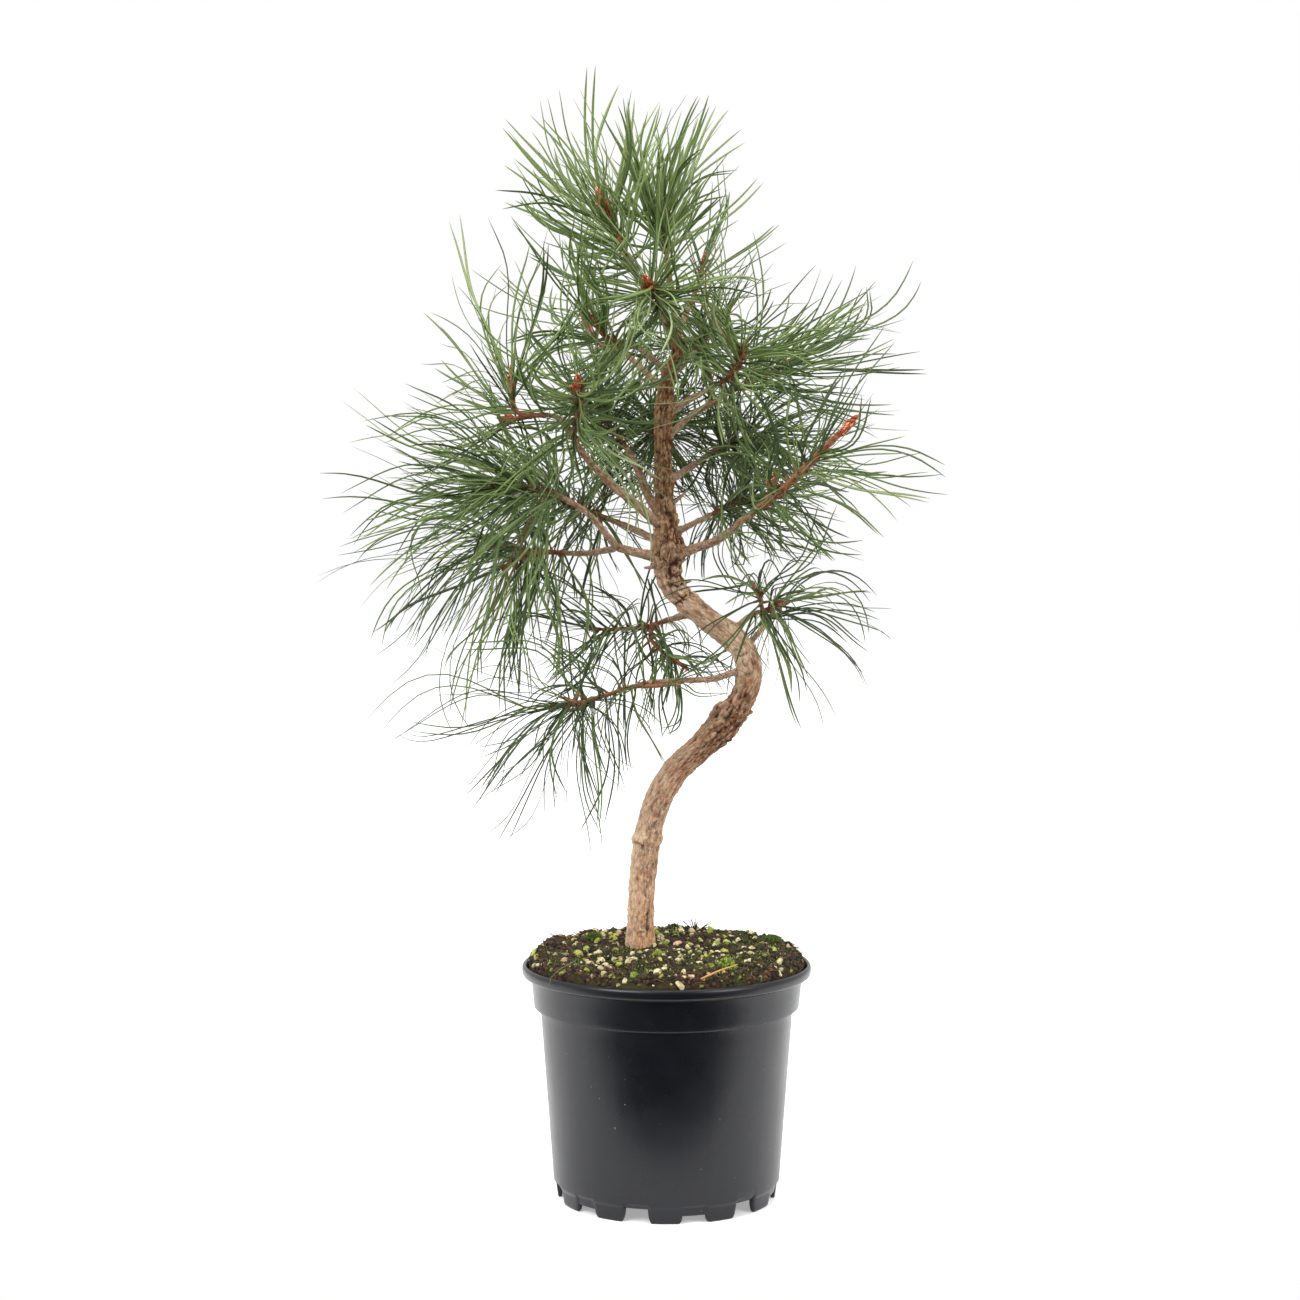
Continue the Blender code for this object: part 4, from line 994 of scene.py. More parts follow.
def needle_tones(root, chance):
    """The number of each pair's tone: lighter the higher its root as painted light, darker at the back as
    painted shade, at random, and a few dry.
    """
    tone = np.interp(root[:, 2], *zip(*NEEDLE_TONES)) - BACK_SHADE * (root[:, 1] > BACK_FROM)
    tone = np.round(tone + chance.normal(0.0, TONE_SPREAD, len(root))).clip(0, len(GREENS) - 1).astype(int)
    return np.where(chance.random(len(root)) < DRY_SHARE, len(GREENS), tone)


def build_foliage(limbs, shoots, tones, sheath_finish):
    """The needles in pairs, joined by region, and the sheaths at their feet."""
    walls = limb_walls(limbs)
    chance = np.random.default_rng(7)
    sprays = {}
    sheaths = Pile()
    for number, (name, own) in enumerate(shoots.items()):
        both = swayed(grown_pairs(number, name, own), chance)
        keep = clear_of_limbs(both.reshape(-1, LINE_STEPS + 1, 3), walls).reshape(2, -1).all(0)
        if name in KEPT_LEFT:
            keep &= ~crosses_stem(both)
        both = both[:, keep]
        facing = unit(both[1, :, LINE_STEPS // 2] - both[0, :, LINE_STEPS // 2])
        width = np.interp(both[0, :, 0, 2], *zip(*NEEDLE_HALF_WIDTHS))
        width = width * chance.uniform(0.86, 1.12, both.shape[1])
        hands = [needle_skins(both[0], facing, width), needle_skins(both[1], -facing, width)]
        skins = np.concatenate(hands)
        sprays[name] = (skins, np.tile(needle_tones(both[0, :, 0], chance), 2))
        add_sheaths(sheaths, both, chance)
    for region, short_names in REGIONS.items():
        nodes = ["needles_" + short for short in short_names]
        skins, tone = (np.concatenate(parts) for parts in zip(*(sprays[name] for name in nodes)))
        blocks = many_tubes(len(skins), len(NEEDLE_PLACES), len(SECTION))
        slots = np.concatenate([np.repeat(tone, len(block) // len(tone)) for block in blocks])
        piece = mesh_piece(region, skins.reshape(-1, 3), blocks, tones, slots)
        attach(piece, "root")
        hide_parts(*nodes)
    piece = sheaths.piece("needle_sheaths", sheath_finish)
    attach(piece, "root")


SHEATH_PLACES = np.array([0.0, 0.5, 1.0])      # shares of its length
SHEATH_RADII = np.array([0.85, 1.0, 0.7])
SHEATH_LENGTH = 6.0
SHEATH_SIDES = 6


def add_sheaths(pile, both, chance):
    """A short papery sleeve round the foot of each pair: three rings along the pair's middle line."""
    middle = both.mean(0)
    way = unit(middle[:, 1] - middle[:, 0])
    side = unit(np.cross(way, (0.3, 0.2, 0.93)))
    across = np.cross(way, side)
    turns = 2 * math.pi * np.arange(SHEATH_SIDES) / SHEATH_SIDES
    length = SHEATH_LENGTH * chance.uniform(0.7, 1.25, len(way))
    centre = middle[:, :1] + way[:, None, :] * (SHEATH_PLACES[None, :] * length[:, None])[..., None]
    ring = side[:, None, :] * np.cos(turns)[None, :, None]
    ring = ring + across[:, None, :] * np.sin(turns)[None, :, None]
    points = centre[:, :, None, :] + ring[:, None, :, :] * SHEATH_RADII[None, :, None, None]
    tone = chance.integers(0, 2, len(way))
    blocks = many_tubes(len(way), len(SHEATH_PLACES), SHEATH_SIDES)
    pile.add(points, blocks, [np.repeat(tone, len(block) // len(way)) for block in blocks])


SHOOT_RADIUS = 1.5
SIDE_FOOT = 1.5            # the radius of a side shoot's foot
SHOOT_SALT = 51            # the first number of the shoots' noise
SHOOT_RADII = {"needles_right_long": 2.4, "needles_low_left": 1.2, "needles_mid_left": 1.1,
               "needles_right_low": 1.2, "needles_right_low_back": 1.1}


def build_shoots(shoots, limbs, finish):
    """The shoots inside the foliage, rough with the cushions that their needles stand on."""
    pile = Pile()
    number = SHOOT_SALT
    for name, lines in shoots.items():
        thick = SHOOT_RADII.get(name, SHOOT_RADIUS)
        foot = limbs[MASSES[name].bough][1][-1]
        for line in lines:
            radii = np.array([foot, thick, thick, thick * 0.85])
            rough_tube(pile, line, radii, *SHOOT_MESH, cushions=0.55, salt=number, pitch=1.7)
            foot = SIDE_FOOT
            number += 1
    piece = pile.piece("shoots", [finish])
    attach(piece, "root")


# Mass: how long its main bud is, and how many small ones stand round it
BUD_SIZES = {"needles_right_long": (16, 2), "needles_mid_left_outer": (12, 3),
             "needles_mid_left_front": (14, 2), "needles_whorl_left_upper": (12, 2),
             "needles_top_left": (16, 3), "needles_top_right": (16, 3), "needles_top_front": (14, 3),
             "needles_low_left": (6, 0), "needles_mid_left": (6, 0), "needles_right_low": (7, 1),
             "needles_right_low_back": (6, 0)}
USUAL_BUD = (9, 2)
BUD_SCALES = 26
# The faces of a small pointed scale or blade of six points: its front, and the three-sided rest
BLADE_FACES = [np.array([(0, 1, 2, 3)]),
               np.array([(3, 2, 4), (5, 3, 4), (2, 5, 4), (0, 3, 5), (2, 1, 5), (1, 0, 5)])]


def spindle(foot, way, length, radius, rings=9, around=12):
    """A bud's body: rings round its axis whose radius swells along a sine from three quarters to the
    whole in its first three tenths, and then falls along a cosine to its tip."""
    side = unit(np.cross(way, (0.31, 0.23, 0.92)))
    across = np.cross(way, side)
    share = np.linspace(0.0, 1.0, rings)
    girth = np.where(share < 0.3, 0.75 + 0.25 * np.sin(share / 0.3 * math.pi / 2),
                     np.cos((share - 0.3) / 0.7 * math.pi / 2) ** 0.8) * radius + 0.05
    turns = 2 * math.pi * np.arange(around) / around
    ring = side * np.cos(turns)[:, None] + across * np.sin(turns)[:, None]
    points = foot + way * (share * length)[:, None, None] + ring[None] * girth[:, None, None]
    return points, share, girth, side, across


def add_bud(pile, foot, way, length, radius, chance):
    """A bud: a spindle wrapped in pointed scales every golden turn, their tips standing off a little."""
    points, share, girth, side, across = spindle(foot, way, length, radius)
    pile.add(points, capped(len(points), points.shape[1]), 0)
    for number in range(BUD_SCALES):
        at = 0.02 + 0.80 * number / BUD_SCALES
        turn = number * GOLDEN_TURN
        out = side * math.cos(turn) + across * math.sin(turn)
        tangent = np.cross(way, out)
        reach = np.interp(at, share, girth)
        base = foot + way * (at * length) + out * (reach * 0.9)
        far = min(at + 0.30, 1.0)
        lift = 0.16 * radius * chance.uniform(0.6, 1.8)
        tip = foot + way * (far * length) + out * (np.interp(far, share, girth) + lift)
        middle = (base + tip) / 2 + out * radius * 0.18
        wide = radius * 0.42 * chance.uniform(0.8, 1.1)
        scale = [base - tangent * wide, base + tangent * wide, middle + tangent * wide * 0.8,
                 middle - tangent * wide * 0.8, tip, middle - out * radius * 0.25]
        pile.add(scale, BLADE_FACES, int(chance.choice([0, 1, 1, 2])))


def build_buds(shoots, finishes):
    """The resting buds: one at each shoot's tip with smaller ones round it."""
    pile = Pile()
    chance = np.random.default_rng(31)
    for name, lines in shoots.items():
        length, small = BUD_SIZES.get(name, USUAL_BUD)
        for order, line in enumerate(lines):
            way = unit(line[-1] - line[-2])
            reach = length if order == 0 else length * 0.8
            add_bud(pile, line[-1] - way * 1.0, way, reach, reach * 0.15, chance)
            side = unit(np.cross(way, (0.2, 0.9, 0.3)))
            across = np.cross(way, side)
            for k in range(small):
                turn = 2 * math.pi * (k + chance.uniform(0.0, 0.5)) / small
                out = side * math.cos(turn) + across * math.sin(turn)
                lean = unit(way + out * chance.uniform(0.3, 0.6))
                add_bud(pile, line[-1] - way * 3.5 + out * 1.0, lean, reach * 0.6, reach * 0.1, chance)
    piece = pile.piece("buds", finishes)
    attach(piece, "root")


# The pot

# Its section as radius and height: the floor inside, then up to the lip and down below the band
FLOOR_LINE = [(0.0, POT_FLOOR), (30.0, POT_FLOOR), (60.0, POT_FLOOR), (71.0, POT_FLOOR)]
LIP_PROFILE = [(72.4, POT_FLOOR), (80.6, 125.0), (85.2, 131.5), (86.8, 146.0), (91.0, 151.6), (91.6, 153.6),
               (92.2, 154.6), (93.0, POT_TOP), (93.9, 154.8), (94.6, 154.0), (95.0, 152.8), (95.0, 151.2),
               (94.8, 149.4), (94.4, 148.4), (93.4, 147.8), (91.6, 147.4), (90.0, 147.2), (89.2, 146.7),
               (89.0, 146.0), (88.2, 138.0), (87.4, 130.0), (87.2, 128.0), (87.0, 127.2), (86.3, 126.8),
               (84.9, 126.6), (83.5, 126.4), (83.0, 126.0), (82.8, 125.2)]
WALL_TOP = (82.8, 123.8)
WALL_FOOT = (74.6, 13.0)
WALL_ROWS = 22
# The wall's rounded lower edge: the radius, and how far it is from the edge's height to the wall's foot
EDGE_PROFILE = [(74.35, 0.9), (73.6, 0.80), (73.1, 0.74), (72.9, 0.66), (72.5, 0.4), (72.1, 0.2),
                (71.9, 0.09), (71.5, 0.03), (71.0, 0.0), (FOOT_INNER + 0.6, 0.0), (FOOT_INNER + 0.1, 0.04)]
UNDERSIDE = [(FOOT_INNER, UNDERFLOOR - 0.1), (60.0, UNDERFLOOR), (PAD_RADIUS + 2.0, UNDERFLOOR),
             (PAD_RADIUS + 0.8, 4.0), (PAD_RADIUS, 0.3), (PAD_RADIUS - 0.8, 0.0), (12.0, 0.0), (0.0, 0.0)]
FOOT_PITCH = 360.0 / FEET
# In degrees: where the edge starts to rise inside a foot's side, and over what width it rises
STEP_START = 1.6
STEP_WIDTH = 2.2
FLAT_INSET = 1.7           # from a foot's side to the flat of the foot, in degrees
GAP_INSET = 0.8            # from a foot's side to the flat of the gap, in degrees
# The crease in each foot: degrees from its middle, half its width in degrees, and its depth
CREASE_TURN = 1.2
CREASE_WIDTH = 0.35
CREASE_DEPTH = 0.25
CREASE_TOP = 0.7           # how far up the edge's profile it goes
SMOOTH_BELOW = 38.0        # degrees between faces, past which an edge is sharp


def edge_turns():
    """The degrees round the pot at which its section is set, closest where the lower edge rises."""
    half = FOOT_WIDTH / 2
    inside = np.linspace(-half + FLAT_INSET, half - FLAT_INSET, 6)
    step = half - STEP_START + STEP_WIDTH * np.linspace(0.0, 1.0, 9) ** 0.7
    gap = np.linspace(half + GAP_INSET, FOOT_PITCH - half - GAP_INSET, 6)[1:-1]
    samples = np.unique(np.round(np.r_[inside, step, gap, -step], 4))
    turns = FOOT_TURN + np.add.outer(FOOT_PITCH * np.arange(FEET), samples).ravel()
    turns = np.sort((turns + 180) % 360 - 180)
    return turns[np.r_[True, np.diff(turns) > 0.02]]


def pot_edge(turn):
    """The height of the wall's lower edge by the turn: nought on a foot, and the gap's height between
    two feet, with a steep rounded step from one to the other."""
    place = (turn - FOOT_TURN) / FOOT_PITCH + 0.5
    foot = np.floor(place)
    off = np.abs(place - foot - 0.5) * FOOT_PITCH
    gap = np.where(np.where(place - foot > 0.5, foot + 1, foot) % 2 == 0, *GAP_HEIGHTS)
    rise = np.clip((off - FOOT_WIDTH / 2 + STEP_START) / STEP_WIDTH, 0.0, 1.0)
    corner = 1 - np.sqrt(np.maximum(0.0, 1 - rise ** 2))
    return gap * corner


def build_pot(finish):
    """The pot: a section carried round its axis, from the floor inside over the lip and down the wall,
    whose lower edge follows the feet, then up inside the feet and along the underside."""
    turns = edge_turns()
    edge = pot_edge(turns)
    wall = WALL_TOP + np.subtract(WALL_FOOT, WALL_TOP) * np.linspace(0.0, 1.0, WALL_ROWS)[1:, None]
    rows = FLOOR_LINE + LIP_PROFILE + wall.tolist()
    off = (turns - FOOT_TURN + FOOT_PITCH / 2) % FOOT_PITCH - FOOT_PITCH / 2
    crease = CREASE_DEPTH * np.exp(-((off - CREASE_TURN) / CREASE_WIDTH) ** 2)
    for radius, share in EDGE_PROFILE:
        inward = crease if 0.0 < share < CREASE_TOP else 0.0
        rows.append((radius - inward, edge + (WALL_FOOT[1] - edge) * share))
    rows += UNDERSIDE
    radius, height = (np.stack([np.broadcast_to(row[k], turns.shape) for row in rows]) for k in (0, 1))
    angle = np.radians(turns)
    skin = np.stack([radius * np.sin(angle), -radius * np.cos(angle), height], -1)
    points = np.vstack([skin[1:-1].reshape(-1, 3), [(0.0, 0.0, POT_FLOOR), (0.0, 0.0, 0.0)]])
    pot = mesh_piece("pot_shell", points, fanned_faces(len(rows) - 2, len(turns)), [finish])
    pot.data.set_sharp_from_angle(angle=math.radians(SMOOTH_BELOW))
    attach(pot, "root")
    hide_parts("pot")


# The root ball's top and what lies on it

RIM = 82.0                 # from here out the soil falls to the wall
SOIL_EDGE = 90.0           # what lies on the soil stays within this
SOIL_AROUND = 360
SOIL_RINGS = 130
SOIL_DOME = [(0, 166.0), (40, 165.6), (74, 164.4), (84, 163.0), (88, 160.2), (SOIL_RADIUS, 154.6)]
SKIRT_TOP = 146.5          # the foot of its edge, inside the wall
SKIRT_DROP = 20.0          # from there to its closed underside
STEM_CLEAR = 11.5          # what lies on the soil keeps this far from the stem's middle


def soil_height(x, y):
    """The soil's height at a place: a dome, soft lumps, and crumbs as plates with rounded tops."""
    reach = np.hypot(x, y)
    dome = np.interp(reach, *zip(*SOIL_DOME))
    flat = np.stack([x, y, np.zeros_like(x)], -1)
    lumps = 2.3 * cloud(flat * 0.055, 61, 2) + 1.6 * cloud(flat * 0.16, 63, 2)
    border, owner = plates(flat * (0.24, 0.24, 1.0) + (0, 0, 0.5), 71)
    crumbs = np.clip(border * 2.0, 0, 0.8) * (0.5 + owner)
    return dome + (lumps + 1.1 * crumbs - 0.5) * np.interp(reach, [0, 86, SOIL_RADIUS], [1.0, 1.0, 0.2])


def build_soil(finish):
    """The soil's surface: a grid by turn and by way from the middle, raised by the soil's height, with
    a skirt that goes down inside the pot."""
    turns = 2 * math.pi * np.arange(SOIL_AROUND) / SOIL_AROUND
    reach = SOIL_RADIUS * np.linspace(0.02, 1.0, SOIL_RINGS) ** 0.8
    x = reach[:, None] * np.sin(turns)[None, :]
    y = -reach[:, None] * np.cos(turns)[None, :]
    top = np.stack([x, y, soil_height(x, y)], -1)
    skirt = top[-1:] * (0.985, 0.985, 0.0) + (0.0, 0.0, SKIRT_TOP)
    foot = skirt * (0.8, 0.8, 1.0) - (0.0, 0.0, SKIRT_DROP)
    points = np.concatenate([top, skirt, foot])
    ends = [(0.0, 0.0, float(top[0, :, 2].mean())), (0.0, 0.0, SKIRT_TOP - SKIRT_DROP)]
    soil = mesh_piece("soil_surface", np.vstack([points.reshape(-1, 3), ends]),
                      fanned_faces(len(points), SOIL_AROUND), [finish])
    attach(soil, "root")
    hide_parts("soil")


def ball_mesh():
    """The points and faces of a ball of 80 triangles: an icosahedron with each face split in four."""
    golden = (1 + 5 ** 0.5) / 2
    points = np.array([(-1, golden, 0), (1, golden, 0), (-1, -golden, 0), (1, -golden, 0), (0, -1, golden),
                       (0, 1, golden), (0, -1, -golden), (0, 1, -golden), (golden, 0, -1), (golden, 0, 1),
                       (-golden, 0, -1), (-golden, 0, 1)], float)
    faces = [(0, 11, 5), (0, 5, 1), (0, 1, 7), (0, 7, 10), (0, 10, 11), (1, 5, 9), (5, 11, 4),
             (11, 10, 2), (10, 7, 6), (7, 1, 8), (3, 9, 4), (3, 4, 2), (3, 2, 6), (3, 6, 8), (3, 8, 9),
             (4, 9, 5), (2, 4, 11), (6, 2, 10), (8, 6, 7), (9, 8, 1)]
    made = list(unit(points))
    halves = {}
    split = []

    def half(a, b):
        key = (min(a, b), max(a, b))
        if key not in halves:
            halves[key] = len(made)
            made.append(unit((made[a] + made[b]) / 2))
        return halves[key]

    for a, b, c in faces:
        ab, bc, ca = half(a, b), half(b, c), half(c, a)
        split += [(a, ab, ca), (b, bc, ab), (c, ca, bc), (ab, bc, ca)]
    return np.array(made), np.array(split), unit(points), np.array(faces)


def turned(chance, count):
    """Random turns as an array of matrices whose rows are three directions at right angles."""
    first = unit(chance.normal(0.0, 1.0, (count, 3)))
    other = chance.normal(0.0, 1.0, (count, 3))
    second = unit(other - first * np.sum(first * other, 1, keepdims=True))
    return np.stack([first, second, np.cross(first, second)], 1)


def on_soil(chance, count, low=0.0, high=89.6):
    """Even random places on the soil between two ways from the middle, clear of the stem."""
    reach = np.sqrt(chance.uniform(low ** 2, high ** 2, count * 2))
    turn = chance.uniform(0.0, 2 * math.pi, count * 2)
    x, y = reach * np.sin(turn), reach * np.cos(turn)
    clear = np.hypot(x - TRUNK_LINE[0][0], y) > STEM_CLEAR
    return x[clear][:count], y[clear][:count]


def apart_from_larger(x, y, sizes):
    """Which of many lumps don't lie on a larger one."""
    away = np.hypot(x[:, None] - x[None, :], y[:, None] - y[None, :])
    covered = (away < 0.85 * (sizes[:, None] + sizes[None, :])) & (sizes[None, :] > sizes[:, None])
    return ~covered.any(1)


def scattered(name, finishes, weights, chance, x, y, sizes, shape, faces, sink, rough, cuts=0):
    """Many small lumps joined in one mesh, their finishes by weight: the ball cut flat on random sides,
    stretched three ways, turned at random, pitted by noise and set at the soil's height, sunk by a share
    of its size."""
    count = len(x)
    stretch = chance.uniform(0.65, 1.25, (count, 1, 3))
    points = np.repeat(shape[None], count, 0)
    for _ in range(cuts):
        way = unit(chance.normal(0.0, 1.0, (count, 1, 3)))
        over = np.sum(points * way, -1, keepdims=True) - chance.uniform(0.45, 0.75, (count, 1, 1))
        points = points - way * np.maximum(over, 0.0)
    points = points * stretch * sizes[:, None, None]
    points = np.einsum("nki,nij->nkj", points, turned(chance, count))
    wander = cloud(points * (0.55 / sizes.mean()) + np.arange(count)[:, None, None] * 13.7, 5, 2)
    points = points * (1 + rough * wander[..., None])
    points = points + np.stack([x, y, soil_height(x, y) - sizes * sink], -1)[:, None, :]
    slots = np.repeat(chance.choice(len(finishes), count, p=weights), len(faces))
    piece = mesh_piece(name, points.reshape(-1, 3), repeated([faces], len(shape), count), finishes, slots)
    if cuts:
        piece.data.set_sharp_from_angle(angle=math.radians(25))
    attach(piece, "root")


def moss_patch_share(x, y):
    """How mossy the soil is at a place, from 0 to 1: soft noise past a limit, and more near the edge."""
    flat = np.stack([x, y, np.zeros_like(x)], -1)
    share = cloud(flat * 0.045 + 3.1, 83, 2) * 1.6
    return np.clip(share + np.interp(np.hypot(x, y), [0, 60, 88], [-0.15, 0.1, 0.5]), 0.0, 1.0)


def blades(x, y, z, way, length, width):
    """Small pointed blades: a foot of two points, a middle bowed out and a tip, with two sides."""
    side = unit(np.cross(way, (0.12, 0.2, 0.97)))
    bow = np.cross(side, way)
    foot = np.stack([x, y, z], -1)
    half = width[:, None]
    reach = length[:, None]
    middle = foot + way * reach * 0.55
    return np.stack([foot - side * half * 0.6, foot + side * half * 0.6,
                     middle + side * half - bow * reach * 0.08, middle - side * half - bow * reach * 0.08,
                     foot + way * reach + bow * reach * 0.12,
                     foot + way * reach * 0.5 - bow * (reach * 0.08 + half * 0.7)], 1)


# The moss cushions: x and y of the middle, how far they spread, how high they rise, and their tone
CUSHIONS = [(38.0, -66.0, 5.2, 4.0, 2), (-6.0, -42.0, 4.6, 2.4, 2), (71.0, 30.0, 5.0, 2.0, 1),
            (-48.0, 30.0, 6.0, 2.2, 1)]
CUSHION_CROWD = 14         # blades for each square of a cushion's spread
MOSS_PLACES = 9000         # tried all over the soil


def build_moss(finishes):
    """Moss: short blades in patches over the soil, and in cushions."""
    chance = np.random.default_rng(67)
    x, y = on_soil(chance, MOSS_PLACES)
    keep = chance.random(len(x)) < moss_patch_share(x, y)
    x, y = x[keep], y[keep]
    z = soil_height(x, y) - 0.3
    tone = chance.choice([0, 1, 2], len(x), p=[0.5, 0.35, 0.15])
    for middle_x, middle_y, spread, rise, bright in CUSHIONS:
        count = int(spread ** 2 * CUSHION_CROWD)
        reach = spread * np.sqrt(chance.random(count))
        turn = chance.uniform(0.0, 2 * math.pi, count)
        cushion_x = middle_x + reach * np.cos(turn) * 1.25
        cushion_y = middle_y + reach * np.sin(turn)
        x, y = np.r_[x, cushion_x], np.r_[y, cushion_y]
        z = np.r_[z, soil_height(cushion_x, cushion_y) + rise * (1 - (reach / spread) ** 2) - 0.4]
        tone = np.r_[tone, np.where(chance.random(count) < 0.8, bright, 1)]
    count = len(x)
    way = [chance.normal(0, 0.6, count), chance.normal(0, 0.6, count), np.full(count, 0.8)]
    points = blades(x, y, z, unit(np.stack(way, -1)), chance.uniform(1.1, 2.6, count),
                    chance.uniform(0.25, 0.5, count))
    slots = np.concatenate([np.repeat(tone, len(block)) for block in BLADE_FACES])
    blocks = repeated(BLADE_FACES, points.shape[1], count)
    piece = mesh_piece("moss", points.reshape(-1, 3), blocks, finishes, slots, smooth=False)
    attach(piece, "root")


def fibre_lines(chance, count, reach, low=0.0):
    """Lines of thin roots and straws that lie on the soil, each a short bent run of five points."""
    x, y = on_soil(chance, count, low)
    turn = chance.uniform(0.0, 2 * math.pi, count)
    lift = chance.uniform(-0.15, 0.45, count)
    points = [np.stack([x, y, soil_height(x, y) + 0.1], -1)]
    length = reach * chance.uniform(0.5, 1.2, count)
    for _ in range(4):
        turn = turn + chance.normal(0.0, 0.45, count)
        lift = lift + chance.normal(-0.12, 0.2, count)
        step = np.stack([np.cos(turn), np.sin(turn), lift], -1)
        points.append(points[-1] + unit(step) * (length / 4)[:, None])
    lines = np.stack(points, 1)
    within = np.hypot(lines[..., 0], lines[..., 1]).max(1) < SOIL_EDGE
    return lines[within]


def thin_rods(pile, lines, radius, slot, sides=4):
    """Thin rods round many lines of the same number of points, tapering to half at their tips."""
    along = unit(np.gradient(lines, axis=1))
    side = unit(np.cross(along, (0.11, 0.23, 0.97)))
    across = np.cross(along, side)
    turns = 2 * math.pi * np.arange(sides) / sides
    taper = np.linspace(1.0, 0.5, lines.shape[1])
    ring = (side[:, :, None, :] * np.cos(turns)[None, None, :, None]
            + across[:, :, None, :] * np.sin(turns)[None, None, :, None])
    points = lines[:, :, None, :] + ring * (radius * taper)[None, :, None, None]
    pile.add(points, many_tubes(len(lines), lines.shape[1], sides), slot)


# Root fibres and straws: how many, how long, least way from the middle, radius and finish
FIBRES = [(520, 9.0, 0.0, 0.22, 0), (160, 13.0, 0.0, 0.3, 1), (40, 16.0, 0.0, 0.5, 2),
          (700, 5.0, RIM, 0.3, 0), (420, 6.0, RIM, 0.34, 1)]
# A straw, a stalk that hangs over the lip and a fibre that stands up: the line, radius and finish
LOOSE = [([(21, -88.5, 161.0), (32, -85, 165.5), (44, -79, 168.5)], 0.75, 3),
         ([(-58, -56, 166.5), (-66, -60, 163.0), (-73, -61.5, 158.0), (-75.5, -62.5, 150.0)], 0.35, 4),
         ([(-76, -37, 163.0), (-78, -37, 170.0), (-80, -36.5, 177.0)], 0.5, 0)]
TUFT_SIZE = 12
TUFT_X, TUFT_Y = 20.0, 64.0


def build_litter(finishes):
    """Root fibres, dead needles and bits of twig on the soil, and a tuft of fibres at its back."""
    chance = np.random.default_rng(91)
    pile = Pile()
    for count, reach, low, radius, slot in FIBRES:
        thin_rods(pile, fibre_lines(chance, count, reach, low), radius, slot)
    for points, radius, slot in LOOSE:
        thin_rods(pile, smooth_line(points, 5)[None], radius, slot)
    tuft = []
    for _ in range(TUFT_SIZE):
        lean = chance.normal(0.0, 0.5, 2)
        tip = (TUFT_X + 9 * lean[0], TUFT_Y + 6 * lean[1], 169.5 + chance.uniform(0, 4))
        middle = (TUFT_X + 4 * lean[0], TUFT_Y + 1.5 * lean[1], 167.0)
        tuft.append(smooth_line([(TUFT_X, TUFT_Y, 163.0), middle, tip], 5))
    thin_rods(pile, np.stack(tuft), 0.45, 0)
    piece = pile.piece("litter", finishes)
    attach(piece, "root")


# Putting it together

# Ramps of colours along a limb, from its foot to its tip
BARK_STOPS = [(0.0, (206, 154, 112)), (0.10, (222, 174, 134)), (0.2, (224, 184, 148)),
              (0.27, (200, 154, 118)), (0.31, (150, 102, 72)), (0.35, (98, 64, 42)),
              (0.40, (104, 68, 46)), (0.44, (188, 150, 118)), (0.48, (226, 192, 160)),
              (0.55, (204, 166, 132)), (0.60, (154, 106, 74)), (0.64, (124, 80, 52)),
              (0.68, (130, 86, 58)), (0.74, (122, 92, 62)), (0.86, (110, 84, 54)),
              (0.93, (130, 80, 46)), (1.0, (146, 86, 48))]
BARK_TINTS = [(0.28, (255, 255, 255)), (0.34, (230, 216, 204)), (0.41, (230, 216, 204)),
              (0.47, (255, 255, 255)), (0.585, (255, 255, 255)), (0.625, (232, 222, 212)),
              (0.70, (228, 216, 200)), (0.80, (226, 210, 190)), (1.0, (222, 200, 176))]
BOUGH_STOPS = [(0.0, (168, 136, 110)), (0.3, (178, 144, 118)), (0.6, (162, 120, 92)),
               (1.0, (146, 96, 66))]
SHOOT_STOPS = [(0.0, (140, 94, 66)), (0.6, (150, 94, 62)), (1.0, (162, 100, 62))]
# Bark: its name, ramp, the heights or lengths in metres between which the ramp runs, its dark, pale
# and warm shades, and its tints
STEM_BARK = ("bark", BARK_STOPS, 0.165, 0.566, (72, 50, 36), (230, 204, 176), (168, 108, 70), BARK_TINTS)
BOUGH_BARK = ("bough bark", BOUGH_STOPS, 0.0, 0.08, (64, 44, 34), (216, 190, 162), (140, 92, 62))
SHOOT_BARK = ("shoot bark", SHOOT_STOPS, 0.0, 0.06, (66, 40, 26), (196, 142, 106), (140, 78, 46))
# Plain finishes: name, colour and roughness
SHEATHS = [("sheath brown", (116, 96, 62), 0.8), ("sheath dark", (84, 76, 48), 0.8)]
BUDS = [("bud orange", (204, 98, 50), 0.55), ("bud red brown", (164, 74, 42), 0.6),
        ("bud resin", (230, 168, 128), 0.5)]
CRUMBS = [("crumb black", (34, 25, 19), 0.95), ("crumb brown", (78, 54, 38), 0.95),
          ("crumb red brown", (104, 72, 50), 0.95), ("crumb green", (54, 66, 28), 0.95)]
CRUMB_WEIGHTS = [0.42, 0.3, 0.13, 0.15]
CRUMB_COUNTS = (3000, 900)      # tried all over the soil, and more at its rim
CRUMB_SIZES = (0.5, 1.7)
MOSSES = [("moss dark", (48, 66, 26), 0.8), ("moss green", (88, 110, 42), 0.8),
          ("moss bright", (156, 182, 62), 0.75)]
LITTER = [("fibre dark", (46, 33, 24), 0.9), ("fibre brown", (112, 82, 54), 0.85),
          ("twig", (94, 66, 46), 0.85), ("straw", (214, 160, 96), 0.6), ("stalk", (124, 120, 84), 0.8)]
